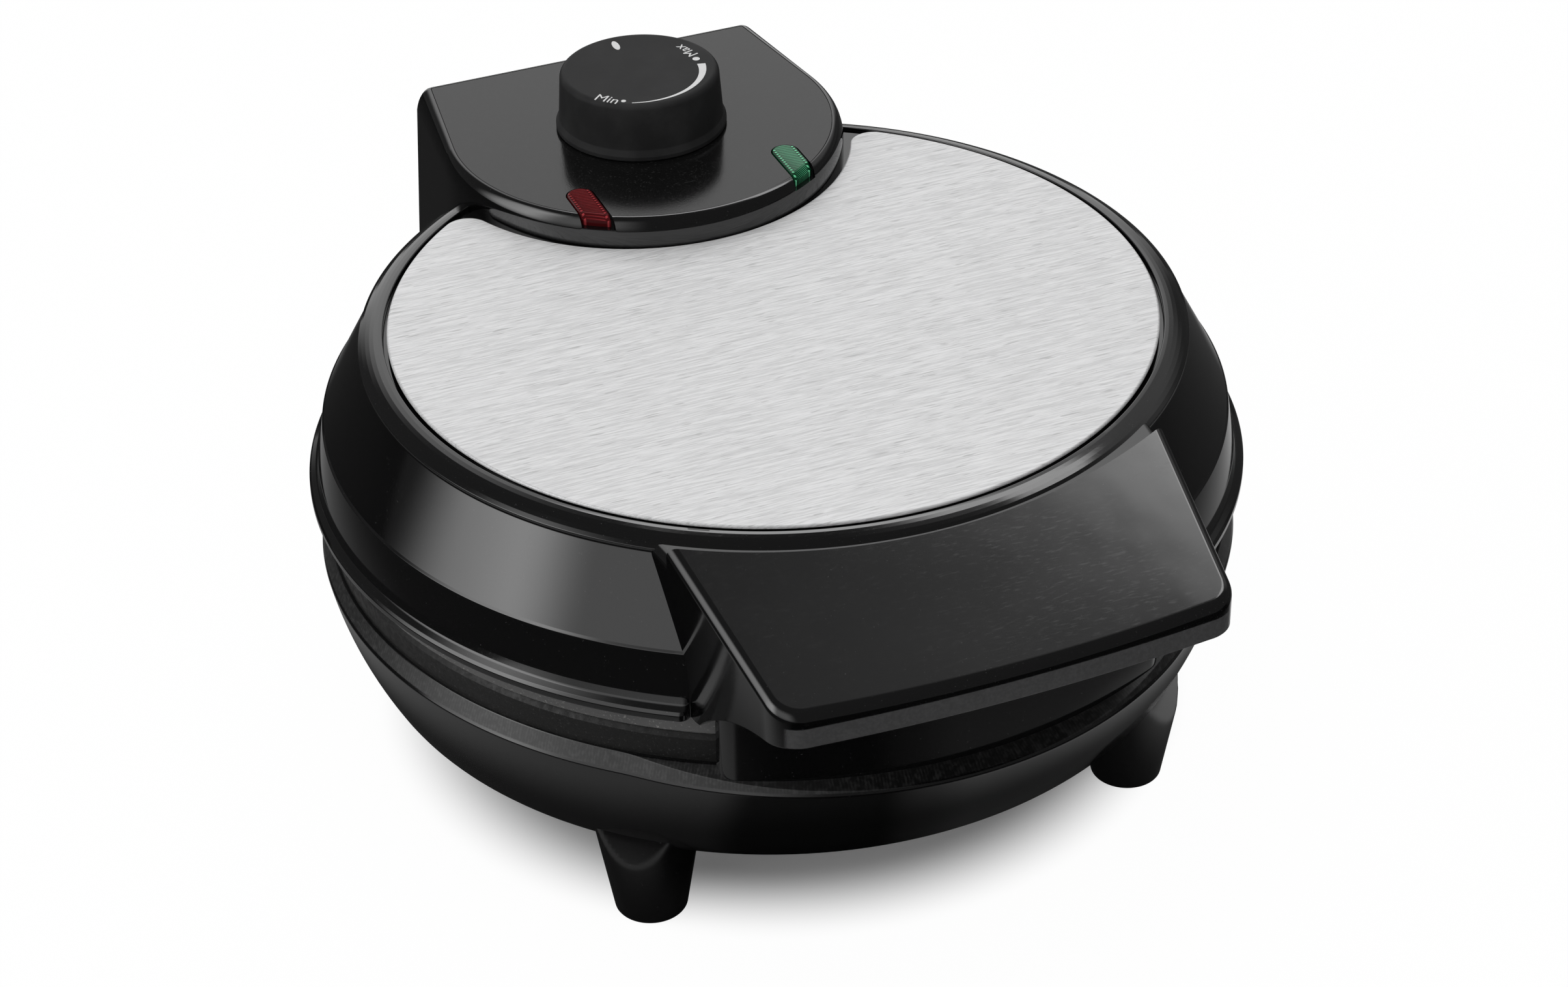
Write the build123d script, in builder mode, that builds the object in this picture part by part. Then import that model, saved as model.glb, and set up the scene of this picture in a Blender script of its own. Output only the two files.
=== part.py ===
"""Heart waffle maker: a round countertop cooker with a hinged lid and a thermostat knob.

Millimetres. +Z is up, -Y is the front with the handle, and +Y is the back with the hinge.
The origin is on the table under the middle of the baking plates.
"""
from math import acos, asin, atan2, cos, hypot, radians, sin, sqrt, tan
import os

from build123d import *

os.makedirs("parts", exist_ok=True)

# Heights of the stack, from the table up
foot_height = 22.0
base_depth = 30.5
rim_rise = 4.5
lower_edge_height = 6.8
parting_gap = 0.4
upper_edge_height = 5.8
lid_wall_height = 16.3
dome_height = 18.3
shoulder_height = 3.6
tower_rise = 7.5

base_bottom_z = foot_height
base_shoulder_z = base_bottom_z + base_depth
base_rim_z = base_shoulder_z + rim_rise
lower_face_z = base_rim_z + lower_edge_height
upper_face_z = lower_face_z + parting_gap
lip_z = upper_face_z + upper_edge_height
crease_z = lip_z + lid_wall_height
shoulder_z = crease_z + dome_height
rim_z = shoulder_z + shoulder_height
tower_top_z = rim_z + tower_rise

# Radius of the lower plate, and the steps from it to the other radii about the same axis
lower_edge_radius = 109.4
upper_edge_step = 0.4
rim_step = 0.6
rim_draw = 2.2
base_side_draw = 8.6
base_turn_width = 5.6
base_turn_height = 5.0
base_seat_width = 2.6
lip_overhang = 3.0
bead_proud = 0.8
bead_height = 2.8
bead_trim_half_width = 56.0
wall_foot_inset = 1.8
wall_draw = 2.2
dome_draw = 9.8
shoulder_width = 2.0
ring_width = 4.0
wall = 2.6

base_rim_radius = lower_edge_radius + rim_step
base_shoulder_radius = base_rim_radius + rim_draw
base_turn_radius = base_shoulder_radius - base_side_draw
base_bottom_radius = base_turn_radius - base_turn_width
upper_edge_radius = lower_edge_radius + upper_edge_step
lip_radius = upper_edge_radius + lip_overhang
bead_radius = lip_radius + bead_proud
wall_foot_radius = lip_radius - wall_foot_inset
crease_radius = wall_foot_radius - wall_draw
shoulder_radius = crease_radius - dome_draw
ring_flat_radius = shoulder_radius - shoulder_width
ring_inner_radius = ring_flat_radius - ring_width

# Small details of the shells
base_side_arc = 90.0
lip_bevel = 0.6
bead_round = 1.0
bead_blend = 1.6
crease_step = 0.5
shoulder_round = 2.6
ring_drop = 0.9
ring_round = 0.4

# How far a cut runs past the face it opens, and a fused piece into what carries it
cut_past = 1.0
root = 0.5
far = 160.0

# Vents in the floor of the base
vent_circle = 34.0
vent_count = 12
vent_length = 20.0
vent_width = 3.0

# Front bulge of the base and the lug that stands on it
bulge_offset = 21.0
bulge_proud = 5.8
ledge_slope = 0.5
lug_thickness = 3.3
lug_wall = 2.0
lug_half_width = 54.0
lug_top_z = lip_z + 6.0
lug_corner = 3.0
lug_gap = 0.5
bulge_reach = base_shoulder_radius + bulge_proud
lug_radius = upper_edge_radius + lug_gap + lug_thickness

# Feet
foot_x = 62.2
foot_y = 71.0
foot_tip_radius = 8.5
foot_flare = 0.161
foot_root_height = 36.0
foot_lean = 0.28
foot_proud = 0.25
pad_radius = 6.6
pad_proud = 0.6
pad_depth = 1.6

# Baking plates
plate_web = 3.5
plate_bevel = 1.0
cavity_depth = 7.8
plate_skirt_gap = 0.8
plate_skirt_radius = base_rim_radius - base_seat_width - plate_skirt_gap
heart_count = 5
heart_tip = 7.0
lobe_distance = 68.0
lobe_spread = 20.0
lobe_radius = 21.0
centre_pool_radius = 9.0
stud_height = 5.0
stud_size = 5.2
stud_pitch = 10.4
stud_clear = 4.6
stud_taper = 12.0
stud_point_clear = 1.2
stud_columns = 4
plate_skirt_wall = 3.0
relief_width = 10.6
relief_face = 4.6
relief_outer_radius = plate_skirt_radius - plate_skirt_wall
relief_inner_radius = relief_outer_radius - relief_width

# Plate screws, bosses, elements and reflectors
boss_circle = 74.0
boss_angle = 45.0
boss_count = 4
plate_boss_radius = 6.0
plate_boss_height = 7.9
post_radius = 6.5
post_seat = 6.0
screw_radius = 2.0
screw_head_radius = 3.8
screw_head_height = 2.4
screw_reach = 12.0
head_clear = 0.4
screw_gap = 0.05
slot_width = 0.8
slot_depth = 1.0
reflector_inset = 3.0
reflector_radius = relief_inner_radius - reflector_inset
reflector_thickness = 0.6
reflector_lip = 6.0
reflector_notch_y = 72.0
reflector_notch_width = 50.0
terminal_slot_end = 8.0
terminal_slot_width = 10.0
element_radius = 56.0
element_tube = 3.3
element_gap = 0.1
element_open_angle = 50.0
terminal_radius = 1.6
terminal_length = 14.0

# Steel panel of the lid
panel_gap = 1.0
panel_radius = ring_inner_radius - panel_gap
panel_thickness = 0.8
panel_proud = 0.4
panel_edge = 0.35
bite_radius = 54.3
bite_shift = 2.0
bite_corner = 6.0
groove_depth = 1.5
groove_width = 2.0

# Control tower, whose back stands behind the hinge
hinge_set_back = 5.4
tower_overhang = 12.7
knob_set_in = 43.1
hinge_y = bead_radius + hinge_set_back
tower_back_y = hinge_y + tower_overhang
knob_y = tower_back_y - knob_set_in
tower_radius = 51.9
tower_back_half_width = 46.8
tower_back_corner = 3.4
tower_edge = 2.8
tower_bottom_z = lip_z + 3.0
tower_skin = 4.2
tower_back_wall = 4.4
inlay_thickness = 1.6
inlay_gap = 0.1
shaft_hole_radius = 4.5
mark_y = 55.0
mark_size = 3.9
mark_height = 0.3

# Handle
handle_half_width = 60.8
handle_root_depth = 19.0
handle_front_half_width = 54.0
handle_bow = 3.0
handle_reach = 23.6
handle_corner = 8.0
handle_edge = 2.4
handle_wall = 2.4
handle_slope = 0.30
handle_step = 1.5
handle_start_z = 106.4
handle_back_arc = 144.7
lip_bottom_z = 87.2
skirt_mid_inset = 1.0
skirt_mid_z = 81.0
skirt_root_step = 0.5
handle_root_y = handle_root_depth - ring_flat_radius
handle_front = bead_radius + handle_reach
handle_corner_y = handle_bow - handle_front
handle_start_y = -ring_flat_radius - handle_step
skirt_mid_y = skirt_mid_inset - bead_radius
skirt_root_y = -ring_flat_radius - skirt_root_step

# Hinge
hinge_z = 64.0
hinge_knuckle = 6.5
rod_radius = 2.0
rod_gap = 0.05
rod_bevel = 0.4
ear_x = 26.0
ear_width = 8.0
ear_gap = 0.5
arm_width = 9.4
ear_root_inset = 10.2
ear_root_depth = 6.0
ear_root_z = 38.0
ear_root_height = 11.0
ear_root_y = base_shoulder_radius - ear_root_inset

# Knob, shaft and thermostat
knob_gap = 0.5
knob_skirt_radius = 21.9
knob_skirt_height = 1.9
knob_skirt_bevel = 0.5
knob_base_radius = 21.1
knob_top_radius = 20.3
knob_height = 14.8
knob_edge = 1.6
knob_wall = 2.2
knob_boss_radius = 6.5
shaft_radius = 3.0
shaft_gap = 0.05
shaft_engage = 9.0
thermostat_width = 26.0
thermostat_depth = 20.0
thermostat_height = 15.0
thermostat_corner = 2.0
tab_length = 12.0
tab_width = 4.0
tab_thickness = 0.8
bracket_thickness = 1.2
bracket_width = 44.0
bracket_depth = 14.0
bracket_screw_inset = 4.0
shaft_sink = 4.0
bush_radius = 5.0
bush_height = 6.0
nut_flats = 12.0
nut_height = 2.6

# Indicator lenses and their lamps
lens_x = 27.5
lens_width = 6.6
lens_gap = 0.15
lens_back_step = 26.8
channel_front_step = 58.6
lens_set_in = 1.9
lens_depth = 5.6
lens_proud = 0.3
lens_slope_run = 1.5
channel_depth = 2.7
lamp_radius = 2.1
lamp_length = 12.0
lamp_gap = 0.1
lamp_step = 30.6
holder_width = 10.0
holder_height = 8.0

# Rear cover, gland, terminals and fuse
cover_half_width = 39.0
cover_bottom_z = 79.0
cover_top_z = 109.0
cover_thickness = 2.0
cover_gap = 0.2
cover_seat = 9.0
cover_lip = 2.0
cover_corner = 1.0
cover_screw_x = 34.5
cover_screw_z = 8.5
small_screw_radius = 1.4
small_head_radius = 2.8
small_head_height = 1.6
small_screw_reach = 6.5
gland_z = 90.0
gland_hole_radius = 5.4
gland_flange_radius = 7.6
gland_bore_radius = 3.6
gland_taper = 18.0
gland_inner_length = 2.0
terminal_block_length = 34.0
terminal_block_height = 8.0
terminal_block_depth = 10.0
terminal_block_z = 102.6
terminal_well = 5.0
terminal_sink = 1.0
terminal_count = 3
terminal_pitch = 10.0
fuse_radius = 2.0
fuse_length = 22.0
fuse_y = 30.0
fuse_lead = 8.0
fuse_lead_radius = 0.5
clip_thickness = 0.8
clip_length = 12.0
clip_foot = 8.0
clip_gap = 0.05

# Derived places
deck_z = rim_z + panel_proud - panel_thickness
lower_web_z = lower_face_z - cavity_depth - plate_web
upper_web_z = upper_face_z + cavity_depth + plate_web
base_post_top_z = lower_web_z - plate_boss_height
lid_post_bottom_z = upper_web_z + plate_boss_height
bulge_axis = Axis((0, -bulge_offset, 0), (0, 0, 1))
ceiling_z = tower_top_z - tower_skin
knob_bottom_z = tower_top_z + knob_gap
knob_axis = Axis((0, knob_y, 0), (0, 0, 1))
knob_plane = Plane(origin=(0, knob_y, 0), x_dir=(1, 0, 0), z_dir=(0, -1, 0))
bulge_plane = Plane(origin=(0, -bulge_offset, 0), x_dir=(1, 0, 0), z_dir=(0, -1, 0))
arm_outer_x = ear_x + ear_width + ear_gap + arm_width
lug_front_y = -sqrt(lug_radius**2 - lug_half_width**2)
lug_back_y = -base_shoulder_radius / 2
cover_mid_z = (cover_bottom_z + cover_top_z) / 2
lens_bottom_z = tower_top_z - lens_depth
lens_back_y = knob_y - lens_back_step
channel_front_y = knob_y - channel_front_step
lamp_y = knob_y - lamp_step
lens_reach = tower_radius - lens_set_in
lamp_z = lens_bottom_z - lamp_radius - lamp_gap
clip_radius = fuse_radius + clip_gap
fuse_z = upper_web_z + fuse_radius
knob_top_z = knob_bottom_z + knob_height
bracket_z = upper_web_z
thermostat_z = bracket_z + bracket_thickness
bush_z = thermostat_z + thermostat_height


def heart_outline():
    """One heart of the waffle: two round lobes and the straight sides that meet at its tip."""
    reach = hypot(lobe_distance - heart_tip, lobe_spread)
    swing = atan2(lobe_spread, lobe_distance - heart_tip) + asin(lobe_radius / reach)
    side = sqrt(reach**2 - lobe_radius**2)
    shoulder = (heart_tip + side * cos(swing), side * sin(swing))
    with BuildSketch(Plane.XY) as heart:
        with Locations((lobe_distance, lobe_spread), (lobe_distance, -lobe_spread)):
            Circle(lobe_radius)
        with BuildLine():
            Polyline(
                (heart_tip, 0),
                shoulder,
                (lobe_distance, lobe_spread),
                (lobe_distance, -lobe_spread),
                (shoulder[0], -shoulder[1]),
                close=True,
            )
        make_face()
    return heart.sketch


def stud_places():
    """Middles of the studs in one heart, on a square grid kept clear of the heart's edge."""
    places = []
    inset = stud_clear + stud_size / 2
    rows = int(2 * lobe_distance / stud_pitch)
    for row in range(rows):
        for column in range(-stud_columns, stud_columns + 1):
            u = heart_tip + (row + 1) * stud_pitch
            v = column * stud_pitch
            in_lobe = hypot(u - lobe_distance, abs(v) - lobe_spread) < lobe_radius - inset
            side_v = (u - heart_tip) * tan(radians(180 / heart_count))
            in_point = u < lobe_distance and abs(v) < side_v - inset - stud_point_clear
            if in_lobe or in_point:
                places.append((u, v))
    return places


def tower_plan(inset=0.0, back_inset=0.0):
    """D-shaped plan of the control tower, with its round end towards the front."""
    radius = tower_radius - inset
    back_y = tower_back_y - back_inset
    half_back = tower_back_half_width - inset
    swing = atan2(back_y - knob_y, half_back) - acos(radius / hypot(back_y - knob_y, half_back))
    side_x = radius * cos(swing)
    side_y = knob_y + radius * sin(swing)
    with BuildSketch(Plane.XY) as plan:
        with BuildLine():
            Line((-side_x, side_y), (-half_back, back_y))
            Line((-half_back, back_y), (half_back, back_y))
            Line((half_back, back_y), (side_x, side_y))
            ThreePointArc((side_x, side_y), (0, knob_y - radius), (-side_x, side_y))
        make_face()
        fillet(plan.vertices().group_by(Axis.Y)[-1], max(tower_back_corner - inset, root))
    return plan.sketch


def handle_plan(inset=0.0):
    """Plan of the handle: sides that draw in towards a gently bowed front edge."""
    side = handle_half_width - inset
    front_side = handle_front_half_width - inset
    with BuildSketch(Plane.XY) as plan:
        with BuildLine():
            Line((-side, handle_root_y), (side, handle_root_y))
            Line((side, handle_root_y), (front_side, handle_corner_y + inset))
            ThreePointArc(
                (front_side, handle_corner_y + inset),
                (0, inset - handle_front),
                (-front_side, handle_corner_y + inset),
            )
            Line((-front_side, handle_corner_y + inset), (-side, handle_root_y))
        make_face()
        fillet(plan.vertices().group_by(Axis.Y)[0], handle_corner - inset)
    return plan.sketch


def lens_plan(width, reach, sides=(-1, 1)):
    """Plan of the lens places: half-round back, straight sides, and a front round the knob at reach."""
    middle_y = lens_back_y - width / 2
    with BuildSketch(Plane.XY) as plan:
        with Locations(*[(side * lens_x, channel_front_y) for side in sides]):
            Rectangle(width, middle_y - channel_front_y, align=(Align.CENTER, Align.MIN))
        with Locations(*[(side * lens_x, middle_y) for side in sides]):
            Circle(width / 2)
        with Locations((0, knob_y)):
            Circle(reach, mode=Mode.INTERSECT)
    return plan.sketch


def handle_top(y, drop=0.0):
    """Height of the handle's sloping top face at a given y."""
    return handle_start_z + handle_slope * (y - handle_start_y) - drop


# Base housing: a dish with moulded feet, front lug and hinge ears
with BuildPart() as base_dish:
    with BuildSketch(Plane.XZ):
        with BuildLine():
            Polyline((0, base_rim_z), (0, base_bottom_z), (base_bottom_radius, base_bottom_z))
            RadiusArc(
                (base_bottom_radius, base_bottom_z),
                (base_turn_radius, base_bottom_z + base_turn_height),
                -2 * base_turn_height,
            )
            RadiusArc(
                (base_turn_radius, base_bottom_z + base_turn_height),
                (base_shoulder_radius, base_shoulder_z),
                -base_side_arc,
            )
            Polyline(
                (base_shoulder_radius, base_shoulder_z),
                (base_rim_radius, base_rim_z),
                (0, base_rim_z),
            )
        make_face()
    revolve(axis=Axis.Z)

with BuildPart() as base_bulge:
    with BuildSketch(bulge_plane):
        with BuildLine():
            Polyline(
                (0, base_rim_z),
                (0, base_bottom_z),
                (base_bottom_radius - bulge_offset, base_bottom_z),
                (base_turn_radius - bulge_offset, base_bottom_z + base_turn_height),
            )
            RadiusArc(
                (base_turn_radius - bulge_offset, base_bottom_z + base_turn_height),
                (bulge_reach - bulge_offset, base_shoulder_z),
                -base_side_arc,
            )
            Polyline(
                (bulge_reach - bulge_offset, base_shoulder_z),
                (bulge_reach - bulge_offset - base_shoulder_radius + base_rim_radius, base_rim_z),
                (0, base_rim_z),
            )
        make_face()
    revolve(axis=bulge_axis)

ledge_end = bulge_reach + wall
with BuildPart() as ledge_cut:
    with BuildSketch(Plane.XZ):
        Polygon(
            (base_rim_radius, base_rim_z),
            (ledge_end, base_rim_z - ledge_slope * (ledge_end - base_rim_radius)),
            (ledge_end, base_rim_z + cut_past),
            (base_rim_radius, base_rim_z + cut_past),
            align=None,
        )
    revolve(axis=Axis.Z)

with BuildPart() as lug:
    with BuildSketch(Plane.XZ):
        Polygon(
            (base_rim_radius - base_seat_width, base_shoulder_z),
            (lug_radius, base_shoulder_z),
            (lug_radius, lug_top_z),
            (lug_radius - lug_wall, lug_top_z),
            (lug_radius - lug_wall, lip_z - lug_gap),
            (upper_edge_radius + lug_gap, lip_z - lug_gap),
            (upper_edge_radius + lug_gap, base_rim_z),
            (base_rim_radius - base_seat_width, base_rim_z),
            align=None,
        )
    revolve(axis=Axis.Z)
    with BuildSketch(Plane.XY.offset(base_bottom_z)) as lug_plan:
        with BuildLine():
            Polyline(
                (lug_half_width, lug_front_y),
                (lug_half_width, lug_back_y),
                (-lug_half_width, lug_back_y),
                (-lug_half_width, lug_front_y),
            )
            ThreePointArc((-lug_half_width, lug_front_y), (0, -lug_radius), (lug_half_width, lug_front_y))
        make_face()
        fillet(lug_plan.vertices().group_by(Axis.Y)[0], lug_corner)
    extrude(amount=lug_top_z, mode=Mode.INTERSECT)

with BuildPart() as hinge_ear:
    with BuildSketch(Plane.YZ.offset(ear_x)):
        with Locations((hinge_y, hinge_z)):
            Circle(hinge_knuckle)
        with Locations((ear_root_y, ear_root_z)):
            Rectangle(ear_root_depth, ear_root_height, align=(Align.MIN, Align.MIN))
        make_hull()
    extrude(amount=ear_width)
    mirror(about=Plane.YZ)

with BuildPart() as base_hollow:
    with BuildSketch(Plane.XZ):
        with BuildLine():
            Polyline(
                (0, base_rim_z + cut_past),
                (0, base_bottom_z + wall),
                (base_bottom_radius - cut_past, base_bottom_z + wall),
                (base_turn_radius - wall, base_bottom_z + base_turn_height + cut_past),
            )
            RadiusArc(
                (base_turn_radius - wall, base_bottom_z + base_turn_height + cut_past),
                (base_shoulder_radius - wall, base_shoulder_z - cut_past),
                -base_side_arc,
            )
            Polyline(
                (base_shoulder_radius - wall, base_shoulder_z - cut_past),
                (base_rim_radius - base_seat_width, base_shoulder_z + cut_past),
                (base_rim_radius - base_seat_width, base_rim_z + cut_past),
                (0, base_rim_z + cut_past),
            )
        make_face()
    revolve(axis=Axis.Z)

with BuildPart() as bulge_hollow:
    with BuildSketch(bulge_plane):
        with BuildLine():
            Polyline(
                (0, base_shoulder_z - wall),
                (0, base_bottom_z + base_turn_height + cut_past),
                (base_turn_radius - bulge_offset - wall, base_bottom_z + base_turn_height + cut_past),
            )
            RadiusArc(
                (base_turn_radius - bulge_offset - wall, base_bottom_z + base_turn_height + cut_past),
                (bulge_reach - bulge_offset - wall, base_shoulder_z - wall),
                -base_side_arc,
            )
            Line((bulge_reach - bulge_offset - wall, base_shoulder_z - wall), (0, base_shoulder_z - wall))
        make_face()
    revolve(axis=bulge_axis)

base_turn_z = base_bottom_z + base_turn_height
with BuildPart() as feet:
    with GridLocations(2 * foot_x, 2 * foot_y, 2, 2):
        with Locations((0, 0, pad_proud)):
            Cone(
                foot_tip_radius,
                foot_tip_radius + foot_flare * (foot_root_height - pad_proud),
                foot_root_height - pad_proud,
                align=(Align.CENTER, Align.CENTER, Align.MIN),
            )
    with BuildSketch(Plane.XZ):
        Polygon(
            (0, pad_proud),
            (base_turn_radius + foot_proud + foot_lean * (base_turn_z - pad_proud), pad_proud),
            (base_turn_radius + foot_proud, base_turn_z),
            (base_turn_radius - wall, foot_root_height),
            (0, foot_root_height),
            align=None,
        )
    revolve(axis=Axis.Z, mode=Mode.INTERSECT)

with BuildPart() as base_housing:
    add(base_dish.part)
    add(base_bulge.part)
    add(ledge_cut.part, mode=Mode.SUBTRACT)
    add(feet.part)
    add(lug.part)
    add(hinge_ear.part)
    add(base_hollow.part, mode=Mode.SUBTRACT)
    add(bulge_hollow.part, mode=Mode.SUBTRACT)
    with BuildSketch(Plane.XY.offset(base_bottom_z + wall - root)):
        with PolarLocations(boss_circle, boss_count, start_angle=boss_angle):
            Circle(post_radius)
    extrude(amount=base_post_top_z - base_bottom_z - wall + root)
    with BuildSketch(Plane.XY.offset(base_bottom_z)):
        with PolarLocations(boss_circle, boss_count, start_angle=boss_angle):
            Circle(screw_head_radius + head_clear)
    extrude(amount=base_post_top_z - post_seat - base_bottom_z, mode=Mode.SUBTRACT)
    with BuildSketch(Plane.XY.offset(base_bottom_z)):
        with PolarLocations(boss_circle, boss_count, start_angle=boss_angle):
            Circle(screw_radius + screw_gap)
    extrude(amount=base_post_top_z - base_bottom_z, mode=Mode.SUBTRACT)
    with BuildSketch(Plane.XY.offset(base_bottom_z)):
        with PolarLocations(vent_circle, vent_count):
            SlotOverall(vent_length, vent_width)
    extrude(amount=wall, mode=Mode.SUBTRACT)
    with BuildSketch(Plane.XY):
        with GridLocations(2 * foot_x, 2 * foot_y, 2, 2):
            Circle(pad_radius)
    extrude(amount=pad_depth, mode=Mode.SUBTRACT)
    with BuildSketch(Plane.YZ.offset(-ear_x - ear_width - cut_past)):
        with Locations((hinge_y, hinge_z)):
            Circle(rod_radius + rod_gap)
    extrude(amount=2 * (ear_x + ear_width + cut_past), mode=Mode.SUBTRACT)
base_housing.part.label = "base_housing"
export_step(base_housing.part, "parts/base_housing.step")

# Rubber pads let into the tips of the feet
with BuildPart() as foot_pads:
    with BuildSketch(Plane.XY):
        with GridLocations(2 * foot_x, 2 * foot_y, 2, 2):
            Circle(pad_radius)
    extrude(amount=pad_depth)
foot_pads.part.label = "foot_pads"
export_step(foot_pads.part, "parts/foot_pads.step")


def baking_plate(face_z, up, edge_z, edge_radius, skirt_radius):
    """A cast plate whose five hearts are sunk from face_z; up is +1 when its back is above its face."""
    hearts = heart_outline()
    web_z = face_z + up * (cavity_depth + plate_web)
    floor_z = face_z + up * cavity_depth
    with BuildPart() as plate:
        with BuildSketch(Plane.XZ):
            Polygon(
                (0, face_z),
                (edge_radius - plate_bevel, face_z),
                (edge_radius, face_z + up * plate_bevel),
                (edge_radius, edge_z),
                (skirt_radius, edge_z),
                (skirt_radius, web_z),
                (0, web_z),
                align=None,
            )
        revolve(axis=Axis.Z)
        with BuildSketch(Plane.XY.offset(face_z)):
            Circle(centre_pool_radius)
            with PolarLocations(0, heart_count, start_angle=90):
                add(hearts)
        extrude(amount=up * cavity_depth, mode=Mode.SUBTRACT)
        with BuildSketch(Plane.XY.offset(floor_z)):
            with PolarLocations(0, heart_count, start_angle=90):
                with Locations(*stud_places()):
                    Rectangle(stud_size, stud_size)
        extrude(amount=-up * stud_height, taper=stud_taper)
        with BuildSketch(Plane.XY.offset(face_z + up * relief_face)):
            Circle(relief_outer_radius)
            Circle(relief_inner_radius, mode=Mode.SUBTRACT)
        extrude(amount=up * (cavity_depth + plate_web - relief_face), mode=Mode.SUBTRACT)
        with BuildSketch(Plane.XY.offset(web_z)):
            with PolarLocations(boss_circle, boss_count, start_angle=boss_angle):
                Circle(plate_boss_radius)
                Circle(screw_radius + screw_gap, mode=Mode.SUBTRACT)
        extrude(amount=up * (plate_boss_height - reflector_thickness))
    return plate.part


# Cast baking plates
lower_plate = baking_plate(lower_face_z, -1, base_rim_z, lower_edge_radius, plate_skirt_radius)
lower_plate.label = "lower_plate"
export_step(lower_plate, "parts/lower_plate.step")

upper_plate = baking_plate(upper_face_z, 1, lip_z, upper_edge_radius, plate_skirt_radius)
upper_plate.label = "upper_plate"
export_step(upper_plate, "parts/upper_plate.step")


def heating_element(web_z, up):
    """Tubular heating ring against a plate's back, with a terminal pin rising from each end."""
    centre_z = web_z + up * (element_tube + element_gap)
    half_open = radians(element_open_angle / 2)
    start = Plane(
        origin=(0, 0, 0),
        x_dir=(-sin(half_open), cos(half_open), 0),
        z_dir=(cos(half_open), sin(half_open), 0),
    )
    with BuildPart() as element:
        with BuildSketch(start):
            with Locations((element_radius, centre_z)):
                Circle(element_tube)
        revolve(axis=Axis.Z, revolution_arc=360 - element_open_angle)
        for side in (-1, 1):
            foot = (side * element_radius * sin(half_open), element_radius * cos(half_open))
            with BuildSketch(Plane.XY.offset(centre_z)):
                with Locations(foot):
                    Circle(terminal_radius)
            extrude(amount=up * terminal_length)
    return element.part


def reflector(web_z, up, notch):
    """Thin steel tray between the posts and the plate's bosses, notched at the back when asked."""
    half_open = radians(element_open_angle / 2)
    sheet_z = web_z + up * (plate_boss_height - reflector_thickness)
    with BuildPart() as tray:
        with BuildSketch(Plane.XY.offset(sheet_z)):
            Circle(reflector_radius)
            with PolarLocations(boss_circle, boss_count, start_angle=boss_angle):
                Circle(screw_radius + screw_gap, mode=Mode.SUBTRACT)
            with Locations((0, element_radius * cos(half_open))):
                SlotOverall(
                    2 * (element_radius * sin(half_open) + terminal_slot_end),
                    terminal_slot_width,
                    mode=Mode.SUBTRACT,
                )
        extrude(amount=up * reflector_thickness)
        with BuildSketch(Plane.XY.offset(sheet_z)):
            Circle(reflector_radius)
            Circle(reflector_radius - reflector_thickness, mode=Mode.SUBTRACT)
        extrude(amount=-up * reflector_lip)
        if notch:
            with BuildSketch(Plane.XY.offset(sheet_z + up * reflector_thickness)):
                with Locations((0, reflector_notch_y)):
                    Rectangle(reflector_notch_width, reflector_radius, align=(Align.CENTER, Align.MIN))
            extrude(amount=-up * (reflector_thickness + reflector_lip), mode=Mode.SUBTRACT)
    return tray.part


def plate_screws(head_z, up):
    """Pan-head screws whose heads seat at head_z and whose shanks run towards the plate."""
    with BuildPart() as screws:
        with BuildSketch(Plane.XY.offset(head_z)):
            with PolarLocations(boss_circle, boss_count, start_angle=boss_angle):
                Circle(screw_head_radius)
        extrude(amount=-up * screw_head_height)
        with BuildSketch(Plane.XY.offset(head_z)):
            with PolarLocations(boss_circle, boss_count, start_angle=boss_angle):
                Circle(screw_radius)
        extrude(amount=up * screw_reach)
        with BuildSketch(Plane.XY.offset(head_z - up * screw_head_height)):
            with PolarLocations(boss_circle, boss_count, start_angle=boss_angle):
                Rectangle(2 * screw_radius, slot_width)
                Rectangle(slot_width, 2 * screw_radius)
        extrude(amount=up * slot_depth, mode=Mode.SUBTRACT)
    return screws.part


lower_element = heating_element(lower_web_z, -1)
lower_element.label = "lower_element"
export_step(lower_element, "parts/lower_element.step")

upper_element = heating_element(upper_web_z, 1)
upper_element.label = "upper_element"
export_step(upper_element, "parts/upper_element.step")

lower_reflector = reflector(lower_web_z, -1, False)
lower_reflector.label = "lower_reflector"
export_step(lower_reflector, "parts/lower_reflector.step")

upper_reflector = reflector(upper_web_z, 1, True)
upper_reflector.label = "upper_reflector"
export_step(upper_reflector, "parts/upper_reflector.step")

lower_plate_screws = plate_screws(base_post_top_z - post_seat, 1)
lower_plate_screws.label = "lower_plate_screws"
export_step(lower_plate_screws, "parts/lower_plate_screws.step")

upper_plate_screws = plate_screws(lid_post_bottom_z + post_seat, -1)
upper_plate_screws.label = "upper_plate_screws"
export_step(upper_plate_screws, "parts/upper_plate_screws.step")


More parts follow.
